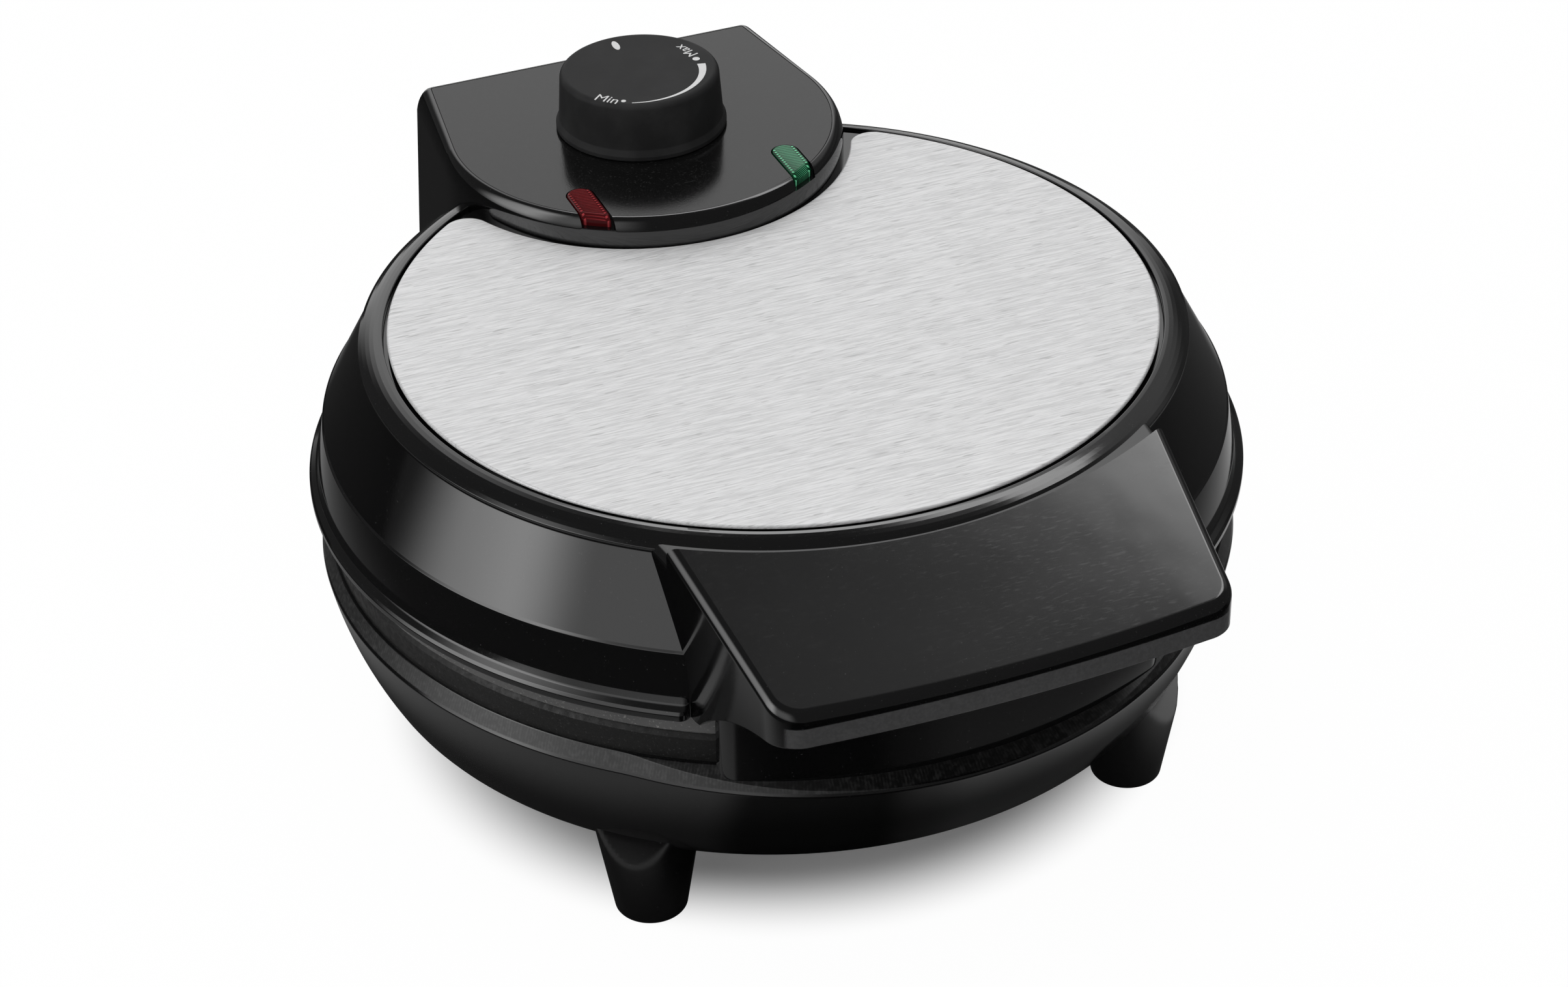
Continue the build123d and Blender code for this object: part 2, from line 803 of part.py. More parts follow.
def lid_outer_profile(with_bead):
    """Closed half-section of the lid's outside, from the axis out to its lip."""
    wall_foot = (wall_foot_radius, lip_z + bead_height + bead_blend)
    with BuildSketch(Plane.XZ) as section:
        with BuildLine():
            if with_bead:
                Polyline(
                    (0, lip_z),
                    (lip_radius, lip_z),
                    (bead_radius, lip_z + lip_bevel),
                    (bead_radius, lip_z + bead_height - bead_round),
                )
                RadiusArc(
                    (bead_radius, lip_z + bead_height - bead_round),
                    (bead_radius - bead_round, lip_z + bead_height),
                    -bead_round,
                )
                Line((bead_radius - bead_round, lip_z + bead_height), wall_foot)
            else:
                Polyline((0, lip_z), (wall_foot_radius, lip_z), wall_foot)
            Polyline(
                wall_foot,
                (crease_radius + crease_step, crease_z - crease_step),
                (crease_radius, crease_z),
                (shoulder_radius, shoulder_z),
            )
            RadiusArc(
                (shoulder_radius, shoulder_z),
                (ring_flat_radius, rim_z - ring_drop),
                -shoulder_round,
            )
            Polyline(
                (ring_flat_radius, rim_z - ring_drop),
                (ring_inner_radius + ring_round, rim_z),
                (ring_inner_radius, rim_z - ring_round),
                (ring_inner_radius, deck_z),
                (0, deck_z),
                (0, lip_z),
            )
        make_face()
    return section.sketch


with BuildPart() as lid_outside:
    revolve(lid_outer_profile(True), axis=Axis.Z)

with BuildPart() as lid_plain:
    revolve(lid_outer_profile(False), axis=Axis.Z)

with BuildPart() as bead_trim:
    with BuildSketch(Plane.XY.offset(lip_z)):
        with Locations((0, -bead_radius - cut_past)):
            Rectangle(2 * bead_trim_half_width, bead_radius / 2, align=(Align.CENTER, Align.MIN))
    extrude(amount=bead_height + bead_blend)
    add(lid_plain.part, mode=Mode.SUBTRACT)

with BuildPart() as lid_inside:
    with BuildSketch(Plane.XZ):
        Polygon(
            (0, lip_z),
            (wall_foot_radius - wall, lip_z),
            (wall_foot_radius - wall, lip_z + bead_height + bead_blend),
            (crease_radius - wall, crease_z - crease_step),
            (shoulder_radius - wall, shoulder_z - shoulder_round / 2),
            (ring_inner_radius - wall, deck_z - wall),
            (0, deck_z - wall),
            align=None,
        )
    revolve(axis=Axis.Z)

with BuildPart() as bulkhead:
    with BuildSketch(Plane.XZ):
        Polygon(
            (0, lip_z),
            (lip_radius, lip_z),
            (bead_radius, lip_z + bead_height),
            (wall_foot_radius, lip_z + bead_height + bead_blend),
            (crease_radius, crease_z),
            (0, crease_z),
            align=None,
        )
    revolve(axis=Axis.Z)

with BuildPart() as tower_block:
    with BuildSketch(Plane.XY.offset(tower_bottom_z)):
        add(tower_plan())
    extrude(amount=tower_top_z - tower_bottom_z)
    fillet(tower_block.faces().sort_by(Axis.Z)[-1].edges(), tower_edge)

with BuildPart() as tower_hollow:
    with BuildSketch(Plane.XY.offset(tower_bottom_z + wall)):
        add(tower_plan(wall, tower_back_wall))
    extrude(amount=ceiling_z - tower_bottom_z - wall)
    add(bulkhead.part, mode=Mode.SUBTRACT)



def above_slope(drop):
    """Everything above the handle's sloping top when that is lowered by drop."""
    with BuildPart() as cutter:
        with BuildSketch(Plane.YZ):
            Polygon(
                (-far, handle_top(-far, drop)),
                (0, handle_top(0, drop)),
                (0, far),
                (-far, far),
                align=None,
            )
        extrude(amount=far, both=True)
    return cutter.part


with BuildPart() as skirt_cut:
    with BuildSketch(Plane.YZ):
        with BuildLine():
            ThreePointArc(
                (handle_corner_y, lip_bottom_z),
                (skirt_mid_y, skirt_mid_z),
                (skirt_root_y, lip_z),
            )
            Polyline(
                (skirt_root_y, lip_z),
                (0, lip_z),
                (0, 0),
                (-far, 0),
                (-far, lip_bottom_z),
                (handle_corner_y, lip_bottom_z),
            )
        make_face()
    extrude(amount=far, both=True)

with BuildPart() as handle_block:
    with BuildSketch(Plane.XY.offset(lip_z - root)):
        add(handle_plan())
        with Locations((0, handle_start_y + handle_back_arc)):
            Circle(handle_back_arc, mode=Mode.SUBTRACT)
    extrude(amount=tower_top_z - lip_z)
    add(above_slope(0), mode=Mode.SUBTRACT)
    slope_edges = handle_block.faces().sort_by(Axis.Z)[-1].edges().sort_by(Axis.Y)
    fillet(slope_edges[:-1], handle_edge)
    add(skirt_cut.part, mode=Mode.SUBTRACT)

with BuildPart() as handle_plateau:
    with BuildSketch(Plane.XY.offset(lip_z - root)):
        add(handle_plan())
        with Locations((0, handle_start_y + handle_back_arc)):
            Circle(handle_back_arc, mode=Mode.INTERSECT)
    extrude(amount=handle_start_z - lip_z + root)
    plateau_top = handle_plateau.faces().sort_by(Axis.Z)[-1]
    straight_edges = plateau_top.edges().filter_by(GeomType.LINE).sort_by(Axis.X)
    fillet([straight_edges[0], straight_edges[-1]], handle_edge)
    add(skirt_cut.part, mode=Mode.SUBTRACT)

with BuildPart() as handle_hollow:
    with BuildSketch(Plane.XY.offset(lip_z - cut_past)):
        add(handle_plan(handle_wall))
    extrude(amount=tower_top_z - lip_z)
    add(above_slope(handle_wall), mode=Mode.SUBTRACT)
    add(lid_plain.part, mode=Mode.SUBTRACT)

with BuildPart() as hinge_arm:
    with BuildSketch(Plane.YZ.offset(ear_x + ear_width + ear_gap)):
        with Locations((hinge_y, hinge_z)):
            Circle(hinge_knuckle)
        with Locations((hinge_y, tower_bottom_z)):
            Rectangle(2 * hinge_knuckle, wall, align=(Align.CENTER, Align.MIN))
        make_hull()
    extrude(amount=arm_width)
    mirror(about=Plane.YZ)

# Lid housing: one moulding with the handle, the control tower and the hinge arms
with BuildPart() as lid_housing:
    add(lid_outside.part)
    add(tower_block.part)
    add(handle_block.part)
    add(handle_plateau.part)
    add(bead_trim.part, mode=Mode.SUBTRACT)
    add(handle_hollow.part, mode=Mode.SUBTRACT)
    add(lid_inside.part, mode=Mode.SUBTRACT)
    add(tower_hollow.part, mode=Mode.SUBTRACT)
    add(hinge_arm.part)
    with BuildSketch(Plane.XY.offset(lid_post_bottom_z)):
        with PolarLocations(boss_circle, boss_count, start_angle=boss_angle):
            Circle(post_radius)
    extrude(amount=deck_z - wall - lid_post_bottom_z + root)
    with BuildSketch(Plane.XY.offset(lid_post_bottom_z + post_seat)):
        with PolarLocations(boss_circle, boss_count, start_angle=boss_angle):
            Circle(screw_head_radius + head_clear)
    extrude(amount=deck_z - lid_post_bottom_z, mode=Mode.SUBTRACT)
    with BuildSketch(Plane.XY.offset(lid_post_bottom_z)):
        with PolarLocations(boss_circle, boss_count, start_angle=boss_angle):
            Circle(screw_radius + screw_gap)
    extrude(amount=post_seat + cut_past, mode=Mode.SUBTRACT)
    with BuildSketch(Plane.XY.offset(deck_z - groove_depth)):
        Circle(ring_inner_radius)
        Circle(ring_inner_radius - groove_width, mode=Mode.SUBTRACT)
        add(tower_plan(), mode=Mode.SUBTRACT)
    extrude(amount=groove_depth + cut_past, mode=Mode.SUBTRACT)
    with BuildSketch(Plane.XY.offset(tower_top_z - inlay_thickness)):
        add(tower_plan(tower_edge, tower_edge))
    extrude(amount=inlay_thickness + cut_past, mode=Mode.SUBTRACT)
    with BuildSketch(Plane.XY.offset(ceiling_z - cut_past)):
        with Locations((0, knob_y)):
            Circle(shaft_hole_radius)
    extrude(amount=tower_skin + 2 * cut_past, mode=Mode.SUBTRACT)
    with BuildSketch(Plane.XY.offset(tower_top_z - channel_depth)):
        add(lens_plan(lens_width + 2 * lens_gap, tower_radius + cut_past))
    extrude(amount=channel_depth, mode=Mode.SUBTRACT)
    with BuildSketch(Plane.XY.offset(lens_bottom_z)):
        add(lens_plan(lens_width + 2 * lens_gap, lens_reach + lens_gap))
    extrude(amount=lens_depth, mode=Mode.SUBTRACT)
    with BuildSketch(Plane.XZ.offset(-tower_back_y)):
        with Locations((0, (cover_bottom_z + cover_top_z) / 2)):
            Rectangle(2 * cover_half_width, cover_top_z - cover_bottom_z)
    extrude(amount=cover_thickness, mode=Mode.SUBTRACT)
    with BuildSketch(Plane.XZ.offset(-tower_back_y)):
        with Locations((0, (cover_bottom_z + cover_top_z) / 2)):
            Rectangle(2 * (cover_half_width - cover_seat), cover_top_z - cover_bottom_z - 2 * cover_lip)
    extrude(amount=tower_back_wall + cut_past, mode=Mode.SUBTRACT)
    with BuildSketch(Plane.XZ.offset(-tower_back_y)):
        with Locations((0, (cover_bottom_z + cover_top_z) / 2)):
            with GridLocations(2 * cover_screw_x, 2 * cover_screw_z, 2, 2):
                Circle(small_screw_radius + screw_gap)
    extrude(amount=tower_back_wall + cut_past, mode=Mode.SUBTRACT)
    with BuildSketch(Plane.YZ.offset(-arm_outer_x - cut_past)):
        with Locations((hinge_y, hinge_z)):
            Circle(rod_radius)
    extrude(amount=2 * (arm_outer_x + cut_past), mode=Mode.SUBTRACT)
lid_housing.part.label = "lid_housing"
export_step(lid_housing.part, "parts/lid_housing.step")

# Hinge rod, held by the lid's arms and turning in the base's ears
with BuildPart() as hinge_rod:
    with BuildSketch(Plane.YZ.offset(-arm_outer_x + rod_bevel)):
        with Locations((hinge_y, hinge_z)):
            Circle(rod_radius)
    extrude(amount=2 * (arm_outer_x - rod_bevel))
    chamfer(hinge_rod.edges().filter_by(GeomType.CIRCLE), rod_bevel)
hinge_rod.part.label = "hinge_rod"
export_step(hinge_rod.part, "parts/hinge_rod.step")

# Steel top panel with the round bite for the tower
with BuildPart() as top_panel:
    with BuildSketch(Plane.XY.offset(deck_z)) as panel_plan:
        Circle(panel_radius)
        with Locations((0, knob_y + bite_shift)):
            Circle(bite_radius, mode=Mode.SUBTRACT)
        fillet(panel_plan.vertices(), bite_corner)
    extrude(amount=panel_thickness)
    fillet(top_panel.faces().sort_by(Axis.Z)[-1].edges(), panel_edge)
top_panel.part.label = "top_panel"
export_step(top_panel.part, "parts/top_panel.step")

# Matt panel let into the top of the tower
with BuildPart() as control_panel:
    with BuildSketch(Plane.XY.offset(tower_top_z - inlay_thickness)):
        add(tower_plan(tower_edge + inlay_gap, tower_edge + inlay_gap))
        with Locations((0, knob_y)):
            Circle(shaft_hole_radius, mode=Mode.SUBTRACT)
        add(lens_plan(lens_width + 2 * lens_gap, tower_radius + cut_past), mode=Mode.SUBTRACT)
    extrude(amount=inlay_thickness)
    with BuildSketch(Plane.XY.offset(tower_top_z)):
        with Locations((0, mark_y)):
            RegularPolygon(mark_size / 2, 3, rotation=90)
    extrude(amount=mark_height)
control_panel.part.label = "control_panel"
export_step(control_panel.part, "parts/control_panel.step")

# Indicator lenses, one each side of the knob
for name, side in (("red_lens", -1), ("green_lens", 1)):
    with BuildPart() as lens:
        with BuildSketch(Plane.XY.offset(lens_bottom_z)):
            add(lens_plan(lens_width, lens_reach, (side,)))
        extrude(amount=lens_depth + lens_proud)
        chamfer(lens.faces().sort_by(Axis.Z)[-1].edges().sort_by(Axis.Y)[0], lens_slope_run)
    lens.part.label = name
    export_step(lens.part, f"parts/{name}.step")

# Neon lamps in holders under the lenses
with BuildPart() as neon_lamps:
    with BuildSketch(Plane.XZ.offset(-lamp_y + lamp_length / 2)):
        with Locations((-lens_x, lamp_z), (lens_x, lamp_z)):
            Circle(lamp_radius)
    extrude(amount=-lamp_length)
    fillet(neon_lamps.edges().filter_by(GeomType.CIRCLE), lamp_radius / 2)
neon_lamps.part.label = "neon_lamps"
export_step(neon_lamps.part, "parts/neon_lamps.step")

with BuildPart() as lamp_holders:
    with BuildSketch(Plane.XZ.offset(-lamp_y + lamp_length / 2)):
        with Locations((-lens_x, ceiling_z), (lens_x, ceiling_z)):
            Rectangle(holder_width, holder_height, align=(Align.CENTER, Align.MAX))
            Rectangle(
                lens_width + 2 * lens_gap,
                ceiling_z - lens_bottom_z + lamp_gap,
                align=(Align.CENTER, Align.MAX),
                mode=Mode.SUBTRACT,
            )
            Rectangle(
                2 * (lamp_radius + lamp_gap),
                ceiling_z - lamp_z,
                align=(Align.CENTER, Align.MAX),
                mode=Mode.SUBTRACT,
            )
        with Locations((-lens_x, lamp_z), (lens_x, lamp_z)):
            Circle(lamp_radius + lamp_gap, mode=Mode.SUBTRACT)
    extrude(amount=-lamp_length)
lamp_holders.part.label = "lamp_holders"
export_step(lamp_holders.part, "parts/lamp_holders.step")

# Thermostat on its bracket, with a threaded bush
with BuildPart() as thermostat_bracket:
    with BuildSketch(Plane.XY.offset(bracket_z)):
        with Locations((0, knob_y)):
            Rectangle(bracket_width, bracket_depth)
            with GridLocations(bracket_width - 2 * bracket_screw_inset, 0, 2, 1):
                Circle(small_screw_radius + screw_gap, mode=Mode.SUBTRACT)
    extrude(amount=bracket_thickness)
thermostat_bracket.part.label = "thermostat_bracket"
export_step(thermostat_bracket.part, "parts/thermostat_bracket.step")

with BuildPart() as bracket_screws:
    with BuildSketch(Plane.XY.offset(bracket_z + bracket_thickness)):
        with Locations((0, knob_y)):
            with GridLocations(bracket_width - 2 * bracket_screw_inset, 0, 2, 1):
                Circle(small_head_radius)
    extrude(amount=small_head_height)
    with BuildSketch(Plane.XY.offset(bracket_z)):
        with Locations((0, knob_y)):
            with GridLocations(bracket_width - 2 * bracket_screw_inset, 0, 2, 1):
                Circle(small_screw_radius)
    extrude(amount=bracket_thickness)
bracket_screws.part.label = "bracket_screws"
export_step(bracket_screws.part, "parts/bracket_screws.step")

with BuildPart() as thermostat_body:
    with BuildSketch(Plane.XY.offset(thermostat_z)):
        with Locations((0, knob_y)):
            RectangleRounded(thermostat_width, thermostat_depth, thermostat_corner)
    extrude(amount=thermostat_height)
    with BuildSketch(Plane.XY.offset(thermostat_z + thermostat_height / 2)):
        with Locations((0, knob_y)):
            with GridLocations(thermostat_width, thermostat_depth / 2, 2, 2):
                Rectangle(tab_length, tab_width)
    extrude(amount=tab_thickness)
    with BuildSketch(Plane.XY.offset(bush_z - shaft_sink - shaft_gap)):
        with Locations((0, knob_y)):
            Circle(shaft_radius + shaft_gap)
    extrude(amount=shaft_sink + shaft_gap, mode=Mode.SUBTRACT)
thermostat_body.part.label = "thermostat_body"
export_step(thermostat_body.part, "parts/thermostat_body.step")

with BuildPart() as thermostat_bush:
    with BuildSketch(Plane.XY.offset(bush_z)):
        with Locations((0, knob_y)):
            RegularPolygon(nut_flats / 2, 6, major_radius=False)
    extrude(amount=nut_height)
    with BuildSketch(Plane.XY.offset(bush_z)):
        with Locations((0, knob_y)):
            Circle(bush_radius)
    extrude(amount=bush_height)
    with BuildSketch(Plane.XY.offset(bush_z)):
        with Locations((0, knob_y)):
            Circle(shaft_radius + shaft_gap)
    extrude(amount=bush_height, mode=Mode.SUBTRACT)
thermostat_bush.part.label = "thermostat_bush"
export_step(thermostat_bush.part, "parts/thermostat_bush.step")

# Rear cover with its screws and the rubber gland for the mains lead
with BuildPart() as rear_cover:
    with BuildSketch(Plane.XZ.offset(-(tower_back_y - cover_thickness))):
        with Locations((0, cover_mid_z)):
            RectangleRounded(
                2 * (cover_half_width - cover_gap),
                cover_top_z - cover_bottom_z - 2 * cover_gap,
                cover_corner,
            )
            with GridLocations(2 * cover_screw_x, 2 * cover_screw_z, 2, 2):
                Circle(small_screw_radius + screw_gap, mode=Mode.SUBTRACT)
        with Locations((0, gland_z)):
            Circle(gland_hole_radius, mode=Mode.SUBTRACT)
    extrude(amount=-cover_thickness)
rear_cover.part.label = "rear_cover"
export_step(rear_cover.part, "parts/rear_cover.step")

with BuildPart() as cover_screws:
    with BuildSketch(Plane.XZ.offset(-tower_back_y)):
        with Locations((0, cover_mid_z)):
            with GridLocations(2 * cover_screw_x, 2 * cover_screw_z, 2, 2):
                Circle(small_head_radius)
    extrude(amount=-small_head_height)
    with BuildSketch(Plane.XZ.offset(-tower_back_y)):
        with Locations((0, cover_mid_z)):
            with GridLocations(2 * cover_screw_x, 2 * cover_screw_z, 2, 2):
                Circle(small_screw_radius)
    extrude(amount=small_screw_reach)
    with BuildSketch(Plane.XZ.offset(-(tower_back_y + small_head_height))):
        with Locations((0, cover_mid_z)):
            with GridLocations(2 * cover_screw_x, 2 * cover_screw_z, 2, 2):
                Rectangle(2 * small_screw_radius, slot_width)
                Rectangle(slot_width, 2 * small_screw_radius)
    extrude(amount=slot_depth, mode=Mode.SUBTRACT)
cover_screws.part.label = "cover_screws"
export_step(cover_screws.part, "parts/cover_screws.step")

with BuildPart() as cord_gland:
    with BuildSketch(Plane.XZ.offset(-(tower_back_y - cover_thickness - gland_inner_length))):
        with Locations((0, gland_z)):
            Circle(gland_flange_radius)
    extrude(amount=-gland_inner_length)
    with BuildSketch(Plane.XZ.offset(-(tower_back_y - cover_thickness))):
        with Locations((0, gland_z)):
            Circle(gland_hole_radius)
    extrude(amount=-cover_thickness)
    with BuildSketch(Plane.XZ.offset(-tower_back_y)):
        with Locations((0, gland_z)):
            Circle(gland_flange_radius)
    extrude(amount=-(handle_front - tower_back_y), taper=gland_taper)
    with BuildSketch(Plane.XZ.offset(-handle_front)):
        with Locations((0, gland_z)):
            Circle(gland_bore_radius)
    extrude(amount=handle_front - tower_back_y + cover_thickness + gland_inner_length, mode=Mode.SUBTRACT)
cord_gland.part.label = "cord_gland"
export_step(cord_gland.part, "parts/cord_gland.step")

# Ceramic terminal block behind the rear cover
with BuildPart() as terminal_block:
    with BuildSketch(Plane.XZ.offset(-(tower_back_y - cover_thickness))):
        with Locations((0, terminal_block_z)):
            Rectangle(terminal_block_length, terminal_block_height)
    extrude(amount=terminal_block_depth)
    with BuildSketch(Plane.XY.offset(terminal_block_z + terminal_block_height / 2)):
        with Locations((0, tower_back_y - cover_thickness - terminal_block_depth / 2)):
            with GridLocations(terminal_pitch, 0, terminal_count, 1):
                Circle(small_head_radius)
    extrude(amount=-terminal_well, mode=Mode.SUBTRACT)
terminal_block.part.label = "terminal_block"
export_step(terminal_block.part, "parts/terminal_block.step")

with BuildPart() as terminal_screws:
    with BuildSketch(Plane.XY.offset(terminal_block_z + terminal_block_height / 2 - terminal_well)):
        with Locations((0, tower_back_y - cover_thickness - terminal_block_depth / 2)):
            with GridLocations(terminal_pitch, 0, terminal_count, 1):
                Circle(small_head_radius - screw_gap)
    extrude(amount=terminal_well - terminal_sink)
    with BuildSketch(Plane.XY.offset(terminal_block_z + terminal_block_height / 2 - terminal_sink)):
        with Locations((0, tower_back_y - cover_thickness - terminal_block_depth / 2)):
            with GridLocations(terminal_pitch, 0, terminal_count, 1):
                Rectangle(2 * small_head_radius, slot_width)
    extrude(amount=-slot_depth, mode=Mode.SUBTRACT)
terminal_screws.part.label = "terminal_screws"
export_step(terminal_screws.part, "parts/terminal_screws.step")

# Thermal fuse under a spring clip on the back of the upper plate
with BuildPart() as thermal_fuse:
    with BuildSketch(Plane.YZ.offset(-fuse_length / 2)):
        with Locations((fuse_y, fuse_z)):
            Circle(fuse_radius)
    extrude(amount=fuse_length)
    with BuildSketch(Plane.YZ.offset(-fuse_length / 2 - fuse_lead)):
        with Locations((fuse_y, fuse_z)):
            Circle(fuse_lead_radius)
    extrude(amount=fuse_length + 2 * fuse_lead)
thermal_fuse.part.label = "thermal_fuse"
export_step(thermal_fuse.part, "parts/thermal_fuse.step")

with BuildPart() as fuse_clip:
    with BuildSketch(Plane.YZ.offset(-clip_length / 2)):
        with Locations((fuse_y, fuse_z)):
            Circle(clip_radius + clip_thickness)
        with Locations((fuse_y, (upper_web_z + fuse_z) / 2)):
            Rectangle(2 * (clip_radius + clip_thickness), fuse_z - upper_web_z)
        with Locations((fuse_y, upper_web_z)):
            Rectangle(
                2 * (clip_radius + clip_foot),
                clip_thickness,
                align=(Align.CENTER, Align.MIN),
            )
        with Locations((fuse_y, fuse_z)):
            Circle(clip_radius, mode=Mode.SUBTRACT)
        with Locations((fuse_y, (upper_web_z + fuse_z) / 2)):
            Rectangle(2 * clip_radius, fuse_z - upper_web_z, mode=Mode.SUBTRACT)
        with Locations((fuse_y, upper_web_z - fuse_radius)):
            Rectangle(4 * (clip_radius + clip_foot), 2 * fuse_radius, mode=Mode.SUBTRACT)
    extrude(amount=clip_length)
fuse_clip.part.label = "fuse_clip"
export_step(fuse_clip.part, "parts/fuse_clip.step")

# Control knob and the shaft it turns
with BuildPart() as control_knob:
    with BuildSketch(knob_plane):
        Polygon(
            (0, knob_bottom_z),
            (knob_skirt_radius, knob_bottom_z),
            (knob_skirt_radius, knob_bottom_z + knob_skirt_height - knob_skirt_bevel),
            (knob_skirt_radius - knob_skirt_bevel, knob_bottom_z + knob_skirt_height),
            (knob_base_radius, knob_bottom_z + knob_skirt_height),
            (knob_top_radius, knob_top_z),
            (0, knob_top_z),
            align=None,
        )
    revolve(axis=knob_axis)
    fillet(control_knob.faces().sort_by(Axis.Z)[-1].edges(), knob_edge)
    with BuildSketch(Plane.XY.offset(knob_bottom_z)):
        with Locations((0, knob_y)):
            Circle(knob_top_radius - knob_wall)
            Circle(knob_boss_radius, mode=Mode.SUBTRACT)
    extrude(amount=knob_height - knob_wall, mode=Mode.SUBTRACT)
    with BuildSketch(Plane.XY.offset(knob_bottom_z)):
        with Locations((0, knob_y)):
            Circle(shaft_radius)
    extrude(amount=shaft_engage, mode=Mode.SUBTRACT)
control_knob.part.label = "control_knob"
export_step(control_knob.part, "parts/control_knob.step")

with BuildPart() as thermostat_shaft:
    with BuildSketch(Plane.XY.offset(bush_z - shaft_sink)):
        with Locations((0, knob_y)):
            Circle(shaft_radius)
    extrude(amount=knob_bottom_z + shaft_engage - bush_z + shaft_sink)
thermostat_shaft.part.label = "thermostat_shaft"
export_step(thermostat_shaft.part, "parts/thermostat_shaft.step")
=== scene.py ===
"""Looks of the heart waffle maker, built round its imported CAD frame.

Each sub-assembly is a class that works out its surfaces with numpy, in millimetres, in the frame of the
CAD model: +X right, -Y front, +Z up, origin on the table under the middle of the plates. Lengths in a
finish are in metres, as Object coordinates are.
"""

import logging
from dataclasses import dataclass, field
from enum import Enum
from math import asin, atan2, cos, hypot, pi, radians, sin, sqrt
from typing import Any, Callable, Optional, Sequence, Union

import bmesh
import bpy
import numpy as np
from mathutils import Matrix, Vector


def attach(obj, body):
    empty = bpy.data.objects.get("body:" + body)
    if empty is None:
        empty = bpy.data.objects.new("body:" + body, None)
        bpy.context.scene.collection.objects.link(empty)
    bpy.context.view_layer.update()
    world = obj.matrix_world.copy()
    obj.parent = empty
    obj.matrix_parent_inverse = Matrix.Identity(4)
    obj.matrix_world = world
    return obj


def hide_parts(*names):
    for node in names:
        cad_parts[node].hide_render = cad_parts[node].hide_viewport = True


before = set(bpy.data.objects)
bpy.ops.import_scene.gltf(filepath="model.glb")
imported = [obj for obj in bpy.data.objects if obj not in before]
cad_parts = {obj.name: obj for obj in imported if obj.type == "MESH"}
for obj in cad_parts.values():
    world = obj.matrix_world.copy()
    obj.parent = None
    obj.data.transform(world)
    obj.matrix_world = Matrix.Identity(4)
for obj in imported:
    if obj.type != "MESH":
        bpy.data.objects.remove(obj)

log = logging.getLogger("waffle_maker")
Array = np.ndarray
Span = tuple[float, float]
Triple = tuple[float, float, float]
Quad = tuple[float, float, float, float]
Colour = Triple
Outline = Callable[[float], Array]

MM = 0.001

# RISE and FALL are what a ramp goes between, and most of a noise lies in NOISE_SPAN.
BLACK: Colour = (0.0, 0.0, 0.0)
WHITE: Colour = (1.0, 1.0, 1.0)
DEEP_BLACK: Colour = (0.0022, 0.0022, 0.0023)
RISE: Span = (0.0, 1.0)
FALL: Span = (1.0, 0.0)
NOISE_SPAN: Span = (0.3, 0.7)

# TINY and TINY_TURN keep a length and an angle from zero where something is divided by them, and
# SIDE_SHARE is the most of a side that one rounding takes.
TINY = 1e-9
TINY_TURN = 1e-6
SIDE_SHARE = 0.49
CIRCLE_POINTS = 48

# Sizes that several sub-assemblies share, in millimetres. HINGE holds the rod's y and z.
WALL = 2.6
KNOB_Y = 88.6
LENS_X = 27.5
LENS_WIDTH = 6.6
LENS_BACK_Y = 61.8
SCREW_CIRCLE = 74.0
SCREW_BORE = 2.05
HEAD_BORE = 4.2
POST_RADIUS = 6.5
HINGE: Span = (119.0, 64.0)
KNUCKLE_RADIUS = 6.5
PLATE_EDGE = 0.6


class Body(Enum):
    """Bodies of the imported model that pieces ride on."""

    BASE = "base"
    LID = "lid"
    KNOB = "knob"


class Side(Enum):
    """Left and right of the object, seen from its handle."""

    LEFT = -1
    RIGHT = 1


class Wire:
    """A socket in an expression: each operator adds one Math node to its material."""

    def __init__(self, graph: "Graph", socket: bpy.types.NodeSocket) -> None:
        """Wraps socket, which belongs to graph."""
        self.graph = graph
        self.socket = socket

    def math(self, operation: str, *others: "Operand") -> "Wire":
        """Adds a Math node with this wire as its first value."""
        values = dict(enumerate((self, *others)))
        return self.graph.node("ShaderNodeMath", {"operation": operation}, values)

    def ramp(self, span: Span, to: Span = RISE) -> "Wire":
        """Takes the ends of span to those of to, along 3 t^2 - 2 t^3 between them and level past them."""
        values = dict(enumerate((self, *span, *to)))
        return self.graph.node("ShaderNodeMapRange", {"interpolation_type": "SMOOTHSTEP"}, values)

    def __add__(self, other: "Operand") -> "Wire":
        """Sum."""
        return self.math("ADD", other)

    def __sub__(self, other: "Operand") -> "Wire":
        """Difference."""
        return self.math("SUBTRACT", other)

    def __rsub__(self, other: float) -> "Wire":
        """Difference from a number."""
        return self.graph.node("ShaderNodeMath", {"operation": "SUBTRACT"}, {0: other, 1: self})

    def __mul__(self, other: "Operand") -> "Wire":
        """Product."""
        return self.math("MULTIPLY", other)

    def __pow__(self, other: "Operand") -> "Wire":
        """Power."""
        return self.math("POWER", other)

    def __abs__(self) -> "Wire":
        """Size without sign."""
        return self.math("ABSOLUTE")

    __radd__ = __add__
    __rmul__ = __mul__


Operand = Union[Wire, float]


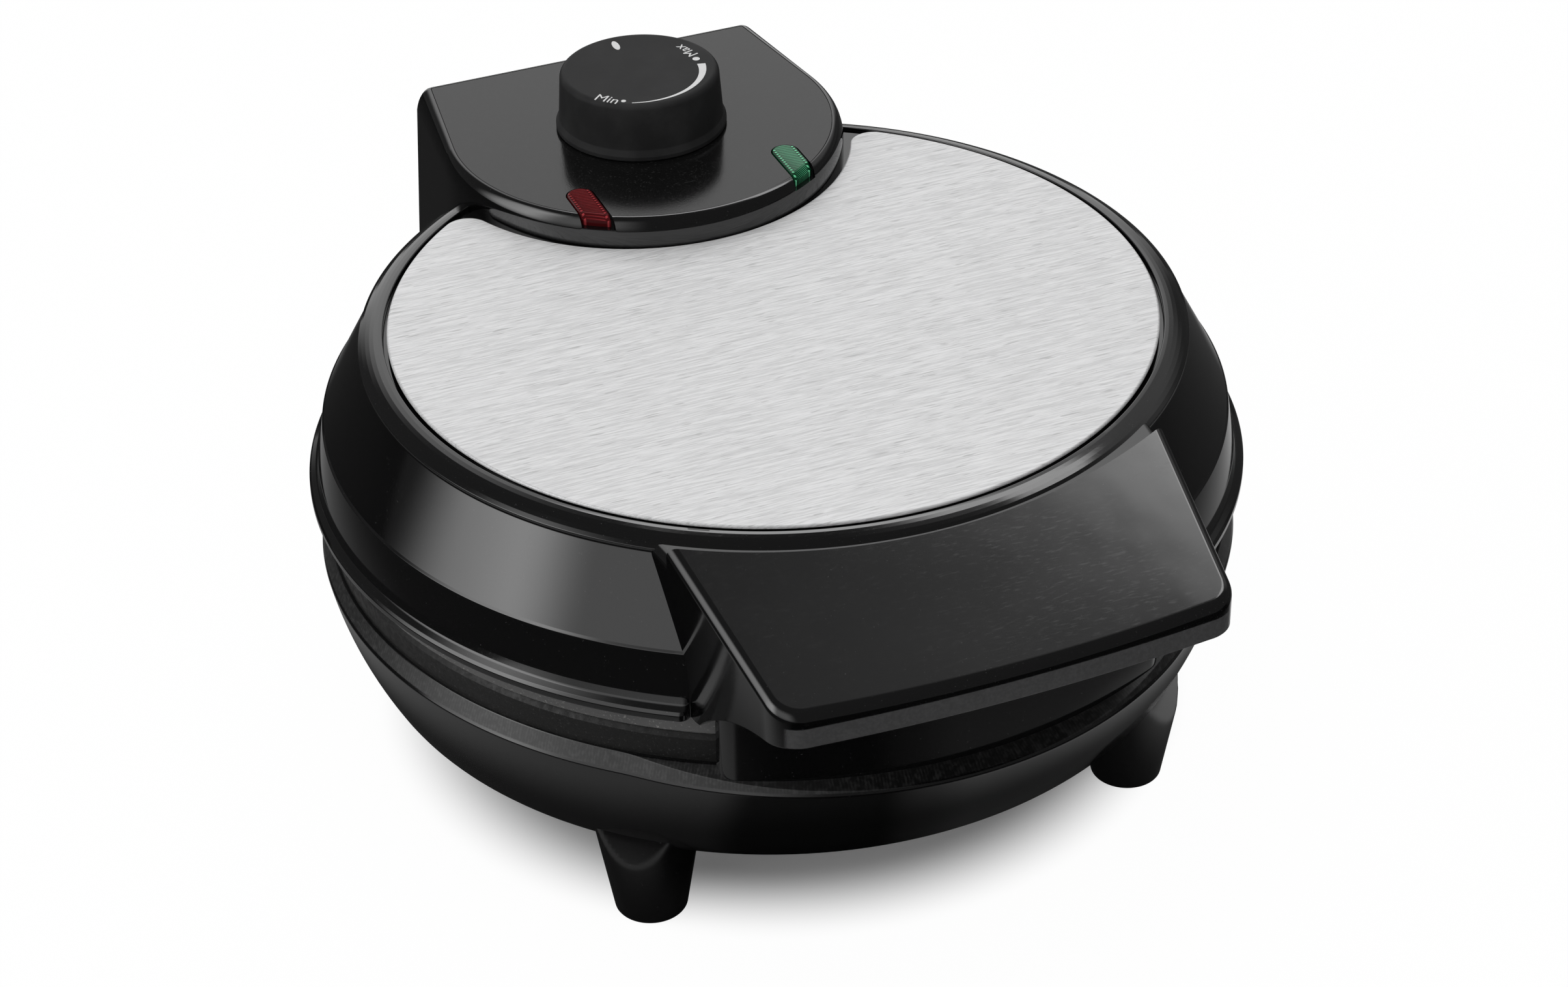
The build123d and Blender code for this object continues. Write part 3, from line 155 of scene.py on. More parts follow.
class Graph:
    """The node tree of one material or of the world."""

    def __init__(self, tree: bpy.types.NodeTree) -> None:
        """Empties tree and takes it over."""
        self.tree = tree
        tree.nodes.clear()

    def node(
        self,
        kind: str,
        settings: Optional[dict[str, Any]] = None,
        sockets: Optional[dict[Any, Any]] = None,
        out: Union[int, str] = 0,
    ) -> Wire:
        """Adds a node.

        Args:
            kind: the node's type.
            settings: its own settings, such as a Math node's operation, which are set first.
            sockets: input name or number to a value, a wire or a colour.
            out: the output that the returned wire stands for.

        Returns:
            The wire of that output, or of the first input where the node has no output.
        """
        made = self.tree.nodes.new(kind)
        for name, value in (settings or {}).items():
            setattr(made, name, value)
        for name, value in (sockets or {}).items():
            target = made.inputs[name]
            if isinstance(value, Wire):
                self.tree.links.new(value.socket, target)
            else:
                wants_alpha = target.type == "RGBA" and len(value) == 3
                target.default_value = (*value, 1.0) if wants_alpha else value
        return Wire(self, made.outputs[out] if len(made.outputs) else made.inputs[0])

    def parts(self, kind: str, names: Sequence[Any], sockets: Optional[dict[Any, Any]] = None) -> list[Wire]:
        """Adds a node and returns the wires of several of its outputs, by name or number."""
        outputs = self.node(kind, None, sockets).socket.node.outputs
        return [Wire(self, outputs[name]) for name in names]

    def place(self) -> Wire:
        """Object coordinates, in metres."""
        return self.node("ShaderNodeTexCoord", out="Object")

    def split(self, vector: Wire) -> list[Wire]:
        """The x, y and z of a vector."""
        return self.parts("ShaderNodeSeparateXYZ", (0, 1, 2), {0: vector})

    def blend(self, share: Operand, first: Any, second: Any) -> Wire:
        """Colour mixed from first to second by share."""
        return self.node("ShaderNodeMix", {"data_type": "RGBA"}, {0: share, 6: first, 7: second}, out=2)

    def bump(self, height: Wire, depth: float) -> Wire:
        """Normal of a surface raised by height times depth, in metres."""
        return self.node("ShaderNodeBump", None, {"Height": height, "Distance": depth})

    def rays(self) -> tuple[Wire, Wire]:
        """1 for rays from the camera or through glass, and 1 for rays that gloss and metal mirror.

        Returns:
            Both wires.
        """
        names = ("Is Camera Ray", "Is Transmission Ray", "Is Glossy Ray")
        camera, clear, glossy = self.parts("ShaderNodeLightPath", names)
        return (camera + clear).math("MINIMUM", 1.0), glossy


@dataclass(frozen=True)
class Noise:
    """A noise on Object coordinates, and the part of its range that shows where it is used as a mask.

    The coordinates are multiplied by stretch along X, Y and Z; rough is the weight of its finer layers.
    """

    scale: float
    detail: float
    stretch: Triple = (1.0, 1.0, 1.0)
    rough: float = 0.5
    span: Span = NOISE_SPAN

    def value(self, graph: Graph) -> Wire:
        """The noise itself, from 0 to 1 and most of it in NOISE_SPAN.

        Args:
            graph: the material's graph.

        Returns:
            Its wire.
        """
        spot = graph.node("ShaderNodeMapping", None, {0: graph.place(), 3: self.stretch})
        values = {"Vector": spot, "Scale": self.scale, "Detail": self.detail, "Roughness": self.rough}
        return graph.node("ShaderNodeTexNoise", None, values)

    def mask(self, graph: Graph) -> Wire:
        """The noise with its span taken to 0..1."""
        return self.value(graph).ramp(self.span)


@dataclass(frozen=True)
class Finish:
    """A surface finish: the constant values of its shader, which subclasses vary over the surface.

    The roughness follows a noise, from the first value of swing to the second, which are added to it.
    """

    name: str
    colour: Colour
    roughness: float
    metallic: float = 0.0
    ior: float = 1.5
    transmission: float = 0.0
    specular: float = 0.5
    swing: Span = (-0.02, 0.03)

    def varied(self, graph: Graph) -> dict[str, Wire]:
        """Values of the shader's sockets that change over the surface.

        Args:
            graph: the material's graph.

        Returns:
            Socket name to wire.
        """
        raise NotImplementedError(self.name)

    def lifted(self, amount: float) -> Colour:
        """The colour with amount added."""
        return tuple(c + amount for c in self.colour)

    def scaled(self, factor: float) -> Colour:
        """The colour times factor."""
        return tuple(c * factor for c in self.colour)

    def gloss(self, noise: Wire) -> Wire:
        """The roughness, which follows a noise over the swing."""
        low, high = self.swing
        return noise.ramp(NOISE_SPAN, (self.roughness + low, self.roughness + high))

    def material(self) -> bpy.types.Material:
        """The material of this finish, made once; its name keeps clear of the frame's own materials.

        Returns:
            The material.
        """
        own_name = f"finish_{self.name}"
        made = bpy.data.materials.get(own_name)
        if made is not None:
            return made
        made = bpy.data.materials.new(own_name)
        made.use_nodes = True
        graph = Graph(made.node_tree)
        values = {
            "Base Color": self.colour,
            "Roughness": self.roughness,
            "Metallic": self.metallic,
            "IOR": self.ior,
            "Transmission Weight": self.transmission,
            "Specular IOR Level": self.specular,
        }
        values.update(self.varied(graph))
        shader = graph.node("ShaderNodeBsdfPrincipled", None, values)
        graph.node("ShaderNodeOutputMaterial", None, {"Surface": shader})
        made.diffuse_color = (*self.colour, 1.0)
        return made


@dataclass(frozen=True)
class PolishedPlastic(Finish):
    """Black moulded plastic from a polished tool: faint flow waves, fine dust and hairline rubs."""

    specular: float = 1.0
    swing: Span = (-0.015, 0.02)
    wave: Noise = Noise(38.0, 2.0)
    wave_depth: float = 0.00004
    haze: Noise = Noise(26.0, 3.0)
    rubs: Noise = Noise(420.0, 6.0, (1.0, 5.0, 3.0), span=(0.52, 0.75))
    rub_roughness: float = 0.05
    specks: Noise = Noise(2600.0, 2.0, span=(0.70, 0.78))
    dust: float = 0.05

    def varied(self, graph: Graph) -> dict[str, Wire]:
        """Roughness with faint rubs, a colour lifted by dust, and a very shallow wave.

        Args:
            graph: the material's graph.

        Returns:
            Socket name to wire.
        """
        rubs = self.rubs.mask(graph) * self.rub_roughness
        return {
            "Base Color": graph.blend(self.specks.mask(graph), self.colour, self.lifted(self.dust)),
            "Roughness": rubs + self.gloss(self.haze.value(graph)),
            "Normal": graph.bump(self.wave.value(graph), self.wave_depth),
        }

    def covered(self, graph: Graph, mask: Wire, tone: Wire, rougher: float) -> dict[str, Wire]:
        """The polished values with an unpolished part laid over them.

        Args:
            graph: the material's graph.
            mask: 1 on the unpolished part.
            tone: its colour.
            rougher: what it adds to the roughness.

        Returns:
            Socket name to wire.
        """
        values = PolishedPlastic.varied(self, graph)
        values["Base Color"] = graph.blend(mask, values["Base Color"], tone)
        values["Roughness"] = values["Roughness"] + mask * rougher
        return values


@dataclass(frozen=True)
class LippedPlastic(PolishedPlastic):
    """Polished plastic whose upright front lip is left grained, between two heights in front of a line."""

    lip_start: Span = (0.0872, 0.0875)
    lip_end: Span = (0.0921, 0.0925)
    lip_back: Span = (-0.1335, -0.1325)
    lip: Colour = (0.060, 0.060, 0.061)
    lip_shade: Colour = (0.045, 0.045, 0.04575)
    lip_grain: Noise = Noise(1500.0, 3.0, span=(0.35, 0.7))
    rougher: float = 0.3

    def varied(self, graph: Graph) -> dict[str, Wire]:
        """The polished values, with the lip's grain laid over them.

        Args:
            graph: the material's graph.

        Returns:
            Socket name to wire.
        """
        _, y, z = graph.split(graph.place())
        mask = z.ramp(self.lip_start) * z.ramp(self.lip_end, FALL) * y.ramp(self.lip_back, FALL)
        tone = graph.blend(self.lip_grain.mask(graph), self.lip_shade, self.lip)
        return self.covered(graph, mask, tone, self.rougher)


@dataclass(frozen=True)
class LedgedPlastic(PolishedPlastic):
    """Polished plastic whose top ledge is left as cut, over a height: fine marks run round it.

    The marks are a sine of the angle round the Z axis, marks_per_radian times over and shifted by a noise.
    """

    ledge_start: Span = (0.0531, 0.0536)
    ledge_end: Span = (0.0567, 0.0570)
    facing_up: Span = (0.15, 0.3)
    marks: Colour = (0.026, 0.026, 0.026)
    marks_per_radian: float = 900.0
    marks_share: float = 0.08
    shift: Noise = Noise(220.0, 3.0)
    shift_reach: float = 9.0
    ledge_grain: Noise = Noise(900.0, 5.0, span=(0.4, 0.75))
    rougher: float = 0.34

    def varied(self, graph: Graph) -> dict[str, Wire]:
        """The polished values, with the ledge's marks laid over them.

        Args:
            graph: the material's graph.

        Returns:
            Socket name to wire.
        """
        x, y, z = graph.split(graph.place())
        _, _, up = graph.split(graph.node("ShaderNodeTexCoord", out="Normal"))
        mask = z.ramp(self.ledge_start) * z.ramp(self.ledge_end, FALL) * up.ramp(self.facing_up)
        turn = x.math("ARCTAN2", y) * self.marks_per_radian
        chatter = (turn + self.shift.value(graph) * self.shift_reach).math("SINE")
        grain = self.ledge_grain.value(graph) + chatter * self.marks_share
        tone = graph.blend(grain.ramp(self.ledge_grain.span), self.colour, self.marks)
        return self.covered(graph, mask, tone, self.rougher)


@dataclass(frozen=True)
class GrainedPlastic(Finish):
    """Moulded plastic from a spark-eroded tool: an even fine grain that greys the gloss."""

    grain: Noise = Noise(2300.0, 3.0, span=(0.35, 0.75))
    grain_depth: float = 0.00001
    lift: float = 0.03
    haze: Noise = Noise(45.0, 3.0)

    def varied(self, graph: Graph) -> dict[str, Wire]:
        """Fine grain in height and tone.

        Args:
            graph: the material's graph.

        Returns:
            Socket name to wire.
        """
        grain = self.grain.value(graph)
        return {
            "Base Color": graph.blend(grain.ramp(self.grain.span), self.colour, self.lifted(self.lift)),
            "Roughness": self.gloss(self.haze.value(graph)),
            "Normal": graph.bump(grain, self.grain_depth),
        }


@dataclass(frozen=True)
class SatinPlastic(Finish):
    """Near-black plastic with a satin face that mirrors softly: fine grain and pinprick specks."""

    swing: Span = (-0.03, 0.04)
    grain: Noise = Noise(3000.0, 2.0)
    grain_depth: float = 0.000012
    specks: Noise = Noise(1700.0, 1.0, span=(0.62, 0.72))
    lift: float = 0.012

    def varied(self, graph: Graph) -> dict[str, Wire]:
        """Grain in gloss and height, and specks in colour.

        Args:
            graph: the material's graph.

        Returns:
            Socket name to wire.
        """
        grain = self.grain.value(graph)
        return {
            "Base Color": graph.blend(self.specks.mask(graph), self.colour, self.lifted(self.lift)),
            "Roughness": self.gloss(grain),
            "Normal": graph.bump(grain, self.grain_depth),
        }


@dataclass(frozen=True)
class SoftTouch(Finish):
    """Soft matt plastic of the knob: fine even grain, polished a little where fingers hold it."""

    swing: Span = (-0.06, 0.05)
    grain: Noise = Noise(3200.0, 3.0)
    grain_depth: float = 0.000012
    wear: Noise = Noise(90.0, 4.0, span=(0.35, 0.75))
    dust: float = 0.012

    def varied(self, graph: Graph) -> dict[str, Wire]:
        """Grain in height, handling wear in gloss, a breath of dust in colour.

        Args:
            graph: the material's graph.

        Returns:
            Socket name to wire.
        """
        wear = self.wear.value(graph)
        return {
            "Base Color": graph.blend(wear.ramp(self.wear.span), self.colour, self.lifted(self.dust)),
            "Roughness": self.gloss(wear),
            "Normal": graph.bump(self.grain.value(graph), self.grain_depth),
        }


@dataclass(frozen=True)
class BrushedSteel(Finish):
    """Steel sheet brushed along X: long lines of two widths, dark dashes, pinpricks and soft bands.

    The tone is the fine lines, the wide lines and the bands by their shares, from the dark colour to the
    pale one. Dashes and pricks take it towards the mark's colour by theirs.
    """

    swing: Span = (-0.06, 0.08)
    fine: Noise = Noise(2500.0, 3.0, (0.05, 1.0, 1.0), 0.68)
    wide: Noise = Noise(700.0, 3.0, (0.045, 1.0, 1.0), 0.6)
    bands: Noise = Noise(150.0, 3.0, (0.04, 1.0, 1.0))
    dashes: Noise = Noise(1500.0, 1.0, (0.10, 1.0, 1.0), span=(0.64, 0.72))
    pricks: Noise = Noise(1400.0, 1.0, span=(0.76, 0.82))
    fine_share: float = 0.93
    wide_share: float = 0.05
    band_share: float = 0.02
    tone_span: Span = (0.34, 0.66)
    dark: float = 0.84
    pale: float = 1.13
    mark: float = 0.45
    dash_share: float = 0.45
    prick_share: float = 0.5
    line_depth: float = 0.000015
    wide_rise: float = 0.5
    dash_fall: float = 0.6

    def varied(self, graph: Graph) -> dict[str, Wire]:
        """Lines along X in tone, gloss and height.

        Args:
            graph: the material's graph.

        Returns:
            Socket name to wire.
        """
        fine, wide = self.fine.value(graph), self.wide.value(graph)
        dashes, pricks = self.dashes.mask(graph), self.pricks.mask(graph)
        tone = fine * self.fine_share + wide * self.wide_share + self.bands.value(graph) * self.band_share
        sheet = graph.blend(tone.ramp(self.tone_span), self.scaled(self.dark), self.scaled(self.pale))
        marks = dashes * self.dash_share + pricks * self.prick_share
        return {
            "Base Color": graph.blend(marks, sheet, self.scaled(self.mark)),
            "Roughness": self.gloss(fine),
            "Normal": graph.bump(fine + wide * self.wide_rise - dashes * self.dash_fall, self.line_depth),
        }


@dataclass(frozen=True)
class CastCoating(Finish):
    """Non-stick coating on cast aluminium: sand-cast bumps under a paint with pale specks."""

    swing: Span = (-0.1, 0.1)
    cast: Noise = Noise(620.0, 6.0)
    cast_depth: float = 0.00008
    specks: Noise = Noise(1900.0, 3.0, span=(0.60, 0.72))
    speck: Colour = (0.32, 0.31, 0.30)
    speck_share: float = 0.55
    worn: Noise = Noise(70.0, 4.0, span=(0.35, 0.7))
    worn_tone: float = 1.4
    worn_share: float = 0.5

    def varied(self, graph: Graph) -> dict[str, Wire]:
        """Cast grain in height, specks in colour, uneven gloss.

        Args:
            graph: the material's graph.

        Returns:
            Socket name to wire.
        """
        cast = self.cast.value(graph)
        worn = self.worn.mask(graph) * self.worn_share
        coat = graph.blend(worn, self.colour, self.scaled(self.worn_tone))
        return {
            "Base Color": graph.blend(self.specks.mask(graph) * self.speck_share, coat, self.speck),
            "Roughness": self.gloss(cast),
            "Normal": graph.bump(cast, self.cast_depth),
        }


@dataclass(frozen=True)
class BareMetal(Finish):
    """Plain metal part: a drawn or turned surface with stains and small dents."""

    swing: Span = (-0.08, 0.12)
    grain: Noise = Noise(900.0, 4.0)
    grain_depth: float = 0.00001
    stains: Noise = Noise(75.0, 5.0, span=(0.5, 0.8))
    stain: Colour = (0.25, 0.22, 0.20)
    stain_share: float = 0.5

    def varied(self, graph: Graph) -> dict[str, Wire]:
        """Stains in colour, drawn grain in gloss and height.

        Args:
            graph: the material's graph.

        Returns:
            Socket name to wire.
        """
        grain = self.grain.value(graph)
        return {
            "Base Color": graph.blend(self.stains.mask(graph) * self.stain_share, self.colour, self.stain),
            "Roughness": self.gloss(grain),
            "Normal": graph.bump(grain, self.grain_depth),
        }


@dataclass(frozen=True)
class LensPlastic(Finish):
    """Tinted clear plastic of an indicator: prism ribs inside, a row of bright facets along each side.

    Lengths are in millimetres here. Ribs are the sine of rib_rate (y + rib_slant x) and beads that of
    bead_rate y. The rows of beads lie row_inset inside the sides, their facets are painted glints, and the
    ribs fill what is between them with a painted highlight that shows more to the right and the back. A
    painted highlight pales everything over the front end.
    """

    ior: float = 1.2
    painted_glint: Colour = (0.6, 0.9, 0.7)
    middle_x: float = 0.0
    rib_rate: float = 9.5
    rib_slant: float = 0.7
    rib_span: Span = (0.1, 0.9)
    rib_lean: float = 0.25
    rib_reach: Span = (8.0, 15.0)
    rib_highlight_share: Span = (0.05, 0.55)
    bead_rate: float = 5.6
    bead_span: Span = (0.0, 0.4)
    bead_glint_share: float = 0.9
    row_inset: float = 0.85
    row_span: Span = (0.15, 0.42)
    inner: Span = (LENS_WIDTH / 2 - 1.5, LENS_WIDTH / 2 - 1.1)
    front: Span = (39.5, 42.1)
    front_highlight_share: Span = (0.55, 0.0)
    depth: float = 0.00006

    def varied(self, graph: Graph) -> dict[str, Wire]:
        """Dark body with slanting ribs, painted glints in rows, and a painted highlight on the ribs and over
        the front.

        Args:
            graph: the material's graph.

        Returns:
            Socket name to wire.
        """
        x, y, _ = graph.split(graph.place())
        x, y = x * (1 / MM), y * (1 / MM)
        signed = x - self.middle_x
        across = abs(signed)
        ribs = ((y + x * self.rib_slant) * self.rib_rate).math("SINE")
        beads = (y * self.bead_rate).math("SINE").ramp(self.bead_span)
        beads = beads * abs(across - (LENS_WIDTH / 2 - self.row_inset)).ramp(self.row_span, FALL)
        # Painted highlight: the ribs show pale more towards the right and the back, where the light falls.
        shown = (signed + y * self.rib_lean).ramp(self.rib_reach, self.rib_highlight_share)
        painted_rib_highlight = ribs.ramp(self.rib_span) * across.ramp(self.inner, FALL) * shown
        # Painted glints on the beads' facets.
        lit = graph.blend(beads * self.bead_glint_share, self.colour, self.painted_glint)
        # Painted highlight over the front end.
        pale = painted_rib_highlight.math("MAXIMUM", y.ramp(self.front, self.front_highlight_share))
        return {
            "Base Color": graph.blend(pale, lit, self.painted_glint),
            "Normal": graph.bump(ribs + beads, self.depth),
        }


class Finishes(Enum):
    """The finishes of the object, by what wears them."""

    GLOSS_BLACK = PolishedPlastic("gloss_black_plastic", DEEP_BLACK, 0.08)
    HANDLE_BLACK = LippedPlastic("handle_black_plastic", DEEP_BLACK, 0.08)
    LEDGE_BLACK = LedgedPlastic("ledged_black_plastic", DEEP_BLACK, 0.08)
    MATTE_BLACK = SatinPlastic("satin_black_plastic", (0.004, 0.004, 0.004), 0.13)
    COVER_BLACK = GrainedPlastic("cover_black_plastic", (0.02, 0.02, 0.021), 0.38)
    KNOB_BLACK = SoftTouch("soft_black_plastic", (0.019, 0.019, 0.0193), 0.48, specular=0.06)
    RUBBER = SoftTouch("rubber", (0.022, 0.022, 0.023), 0.72)
    PRINT_WHITE = GrainedPlastic("white_print", (0.62, 0.62, 0.62), 0.5)
    THERMOSTAT = GrainedPlastic("thermostat_moulding", (0.12, 0.06, 0.035), 0.42)
    CERAMIC = GrainedPlastic("terminal_ceramic", (0.74, 0.72, 0.67), 0.45)
    STEEL = BrushedSteel("brushed_steel", (0.68, 0.68, 0.684), 0.42, 0.36, specular=0.0)
    CAST = CastCoating("cast_coating", (0.075, 0.0745, 0.074), 0.38)
    # The lower plate's coating is the upper plate's painted much darker: painted shade of the narrow gap
    # between the plates.
    SHADE_PAINTED_CAST = CastCoating("shade_painted_cast_coating", (0.006, 0.0058, 0.0056), 0.50, speck=(0.05, 0.05, 0.05))
    ELEMENT = BareMetal("element_sheath", (0.30, 0.29, 0.28), 0.38, 1.0)
    REFLECTOR = BareMetal("aluminium_sheet", (0.72, 0.72, 0.72), 0.28, 1.0,
                          grain=Noise(900.0, 4.0, (0.1, 1.0, 1.0)))
    SCREW = BareMetal("plated_screw", (0.60, 0.60, 0.61), 0.28, 1.0)
    BRASS = BareMetal("brass", (0.72, 0.52, 0.24), 0.3, 1.0)
    LAMP = BareMetal("lamp_glass", (0.85, 0.62, 0.45), 0.08, transmission=0.7, stain=(0.8, 0.4, 0.2))
    RED = LensPlastic("red_lens_plastic", (0.052, 0.003, 0.004), 0.10,
                      painted_glint=(0.34, 0.04, 0.045), middle_x=-LENS_X)
    GREEN = LensPlastic("green_lens_plastic", (0.002, 0.036, 0.014), 0.10,
                        painted_glint=(0.20, 0.78, 0.42), middle_x=LENS_X)

    def material(self) -> bpy.types.Material:
        """The finish's material."""
        return self.value.material()


def rounded(corners: Any, steps: int = 6) -> Array:
    """Polyline through corners with each inner one replaced by an arc that touches both its sides.

    With h half the angle between the two sides, the arc touches each side at radius / tan(h) from the
    corner, or at SIDE_SHARE of the shorter side where that is less. Its middle is on the bisector at
    radius / sin(h), and its points turn evenly between the ends.

    Args:
        corners: (..., n, 3) places and radius of each corner; the first and last are kept as they are.
        steps: points on each arc.

    Returns:
        (..., 2 + (n - 2) * steps, 2) points.
    """
    data = np.asarray(corners, float)
    spot = data[..., :2]
    middle = spot[..., 1:-1, :]
    back = spot[..., :-2, :] - middle
    ahead = spot[..., 2:, :] - middle
    back_length = np.linalg.norm(back, axis=-1, keepdims=True)
    ahead_length = np.linalg.norm(ahead, axis=-1, keepdims=True)
    back = back / np.maximum(back_length, TINY)
    ahead = ahead / np.maximum(ahead_length, TINY)
    half = np.arccos(np.clip((back * ahead).sum(-1, keepdims=True), -1.0, 1.0)) / 2
    longest = SIDE_SHARE * np.minimum(back_length, ahead_length)
    reach = np.minimum(data[..., 1:-1, 2:3] / np.tan(half), longest)
    radius = reach * np.tan(half)
    bisector = back + ahead
    bisector = bisector / np.maximum(np.linalg.norm(bisector, axis=-1, keepdims=True), TINY)
    centre = middle + bisector * radius / np.sin(half)
    turn = np.maximum(pi - 2 * half, TINY_TURN)[..., None, :]
    share = np.linspace(0.0, 1.0, steps)[:, None]
    first = (middle + back * reach - centre)[..., None, :]
    last = (middle + ahead * reach - centre)[..., None, :]
    swept = (np.sin((1 - share) * turn) * first + np.sin(share * turn) * last) / np.sin(turn)
    arcs = centre[..., None, :] + swept
    arcs = arcs.reshape(*arcs.shape[:-3], -1, 2)
    return np.concatenate([spot[..., :1, :], arcs, spot[..., -1:, :]], axis=-2)


def arc(centre: Span, radius: float, start: float, end: float, count: int) -> Array:
    """Points on a circle from the angle start to end, in radians from +X."""
    turn = np.linspace(start, end, count)
    return np.column_stack([centre[0] + radius * np.cos(turn), centre[1] + radius * np.sin(turn)])


def circle(centre: Span, radius: float) -> Array:
    """Points evenly round a circle, CIRCLE_POINTS of them, the first towards +X."""
    return arc(centre, radius, 0.0, 2 * pi * (CIRCLE_POINTS - 1) / CIRCLE_POINTS, CIRCLE_POINTS)


def bowed(start: Array, end: Array, radius: float, count: int) -> Array:
    """Points on a shallow arc: the chord plus 4 u (1 - u) times chord squared / (8 radius), to its right.

    Args:
        start: (..., 2) first point.
        end: (..., 2) last point.
        radius: of the arc.
        count: points on it.

    Returns:
        (..., count, 2) points.
    """
    share = np.linspace(0.0, 1.0, count)[:, None]
    chord = np.asarray(end, float) - np.asarray(start, float)
    length = np.linalg.norm(chord, axis=-1, keepdims=True)
    right = np.stack([chord[..., 1], -chord[..., 0]], axis=-1) / length
    rise = length**2 / (8 * radius)
    line = np.asarray(start)[..., None, :] + share * chord[..., None, :]
    return line + 4 * share * (1 - share) * (rise * right)[..., None, :]


def lattice(rows: int, columns: int, wrap_rows: bool = False, wrap_columns: bool = False) -> Array:
    """Four-sided faces between neighbours of a grid of points, as (faces, 4) indices.

    Args:
        rows: of the grid.
        columns: of the grid.
        wrap_rows: whether the last row joins the first.
        wrap_columns: whether the last column joins the first.

    Returns:
        The indices.
    """
    index = np.arange(rows * columns).reshape(rows, columns)
    if wrap_rows:
        index = np.vstack([index, index[:1]])
    if wrap_columns:
        index = np.hstack([index, index[:, :1]])
    return np.stack([index[:-1, :-1], index[:-1, 1:], index[1:, 1:], index[1:, :-1]], axis=-1).reshape(-1, 4)


@dataclass
class Patch:
    """Points in millimetres and the faces between them, in groups of equal corner count."""

    points: Array
    faces: list[Array]

    def moved(self, x: float, y: float) -> "Patch":
        """The same patch shifted over the table."""
        return Patch(self.points + np.array([x, y, 0.0]), self.faces)

    def mirrored(self) -> "Patch":
        """The same patch on the other side of x = 0, its faces turned over."""
        return Patch(self.points * np.array([-1.0, 1.0, 1.0]), [face[:, ::-1] for face in self.faces])


def turned(profile: Array, azimuths: Array, closed: bool = False) -> Patch:
    """Surface of a profile (n, 2) or (columns, n, 2) of radius and height carried round the Z axis.

    A point is at (r sin a, -r cos a, z), so azimuth a is 0 at the front and grows towards +X.

    Args:
        profile: radius and height, the same for all columns or one row each.
        azimuths: angles of the columns, once round.
        closed: whether the profile's last point joins its first.

    Returns:
        The patch.
    """
    shape = np.broadcast_to(profile, (len(azimuths), *np.shape(profile)[-2:]))
    radius, height = shape[..., 0], shape[..., 1]
    turn = azimuths[:, None]
    grid = np.stack([radius * np.sin(turn), -radius * np.cos(turn), height], axis=-1)
    faces = lattice(grid.shape[0], grid.shape[1], wrap_rows=True, wrap_columns=closed)
    return Patch(grid.reshape(-1, 3), [faces])


def lofted(rings: Array) -> Patch:
    """Skin over closed rings (rows, columns, 3), with a flat face on the first and the last.

    Args:
        rings: the rings in order.

    Returns:
        The patch.
    """
    rows, columns = rings.shape[:2]
    sides = lattice(rows, columns, wrap_columns=True)
    first = np.arange(columns)[None, ::-1]
    last = np.arange((rows - 1) * columns, rows * columns)[None, :]
    return Patch(rings.reshape(-1, 3), [sides, first, last])


def ring_at(outline: Array, height: float, axis: int = 2) -> Array:
    """An outline (n, 2) as a ring (n, 3), where height becomes the coordinate of the axis."""
    return np.insert(outline, axis, height, axis=1)


def slab(outline: Array, low: float, high: float, axis: int = 2) -> Patch:
    """Solid of one outline between two heights on an axis."""
    return lofted(np.stack([ring_at(outline, low, axis), ring_at(outline, high, axis)]))


def stacked(outline: Outline, levels: Sequence[Span], axis: int = 2) -> Patch:
    """Solid of an outline carried up in levels of (inset, height), closed at both ends.

    Args:
        outline: a function of the inset that returns (n, 2) points, always as many.
        levels: inset and height of each ring, from one end to the other.
        axis: along which the heights are.

    Returns:
        The patch.
    """
    return lofted(np.stack([ring_at(outline(inset), height, axis) for inset, height in levels]))


def edge_levels(low: float, high: float, low_round: float, high_round: float, steps: int = 5) -> list[Span]:
    """Levels from low to high whose two edges are quarter-round.

    At the angle t from 0 to a right angle an edge of radius r is drawn in by r (1 - sin t) at r (1 - cos t)
    over the low end, and by r (1 - cos t) at r (1 - sin t) under the high end.

    Args:
        low: height of the low end.
        high: height of the high end.
        low_round: radius of the low edge.
        high_round: radius of the high edge.
        steps: levels of each edge.

    Returns:
        Inset and height of each level.
    """
    turn = np.linspace(0.0, pi / 2, steps)
    bottom = [(low_round * (1 - sin(t)), low + low_round * (1 - cos(t))) for t in turn]
    return bottom + top_levels(high, high_round, high_round, steps)


def top_levels(high: float, across: float, tall: float, steps: int) -> list[Span]:
    """Levels of a top edge, a quarter ellipse: in by across (1 - cos t) at tall (1 - sin t) under high."""
    turn = np.linspace(0.0, pi / 2, steps)
    return [(across * (1 - cos(t)), high - tall * (1 - sin(t))) for t in turn]


def even_azimuths(count: int, near: Sequence[float] = (), reach: float = 0.03, extra: int = 12) -> Array:
    """Angles once round: count of them evenly spaced, and extra ones within reach of each angle in near.

    Args:
        count: of the even angles.
        near: angles that get extra ones.
        reach: of the extra ones to each side.
        extra: how many each gets.

    Returns:
        The angles in order, none closer than a ten-thousandth to the next.
    """
    even = np.linspace(-pi, pi, count, endpoint=False)
    close = [np.linspace(a - reach, a + reach, extra) for a in near]
    every = np.unique(np.round(np.concatenate([even, *close]), 7))
    return every[np.append(np.diff(every) > 1e-4, True)]


def smooth_max(a: Array, b: Array, softness: float) -> Array:
    """The larger of a and b, blended where they are close: (a + b + sqrt((a - b)^2 + softness^2)) / 2."""
    return (a + b + np.sqrt((a - b) ** 2 + softness**2)) / 2


def four_corners(x: float, y: float) -> list[Span]:
    """The four places at +-x and +-y."""
    return [(a, b) for a in (-x, x) for b in (-y, y)]


def screw_spots() -> list[Span]:
    """Middles of the four screw posts of a half, on the diagonals."""
    return four_corners(SCREW_CIRCLE * sqrt(0.5), SCREW_CIRCLE * sqrt(0.5))


def screw_post(section: Sequence[Triple]) -> Patch:
    """A post: its closed section of radius, height and rounding, carried round the Z axis."""
    return turned(rounded(section, 3)[:-1], even_azimuths(48), closed=True)


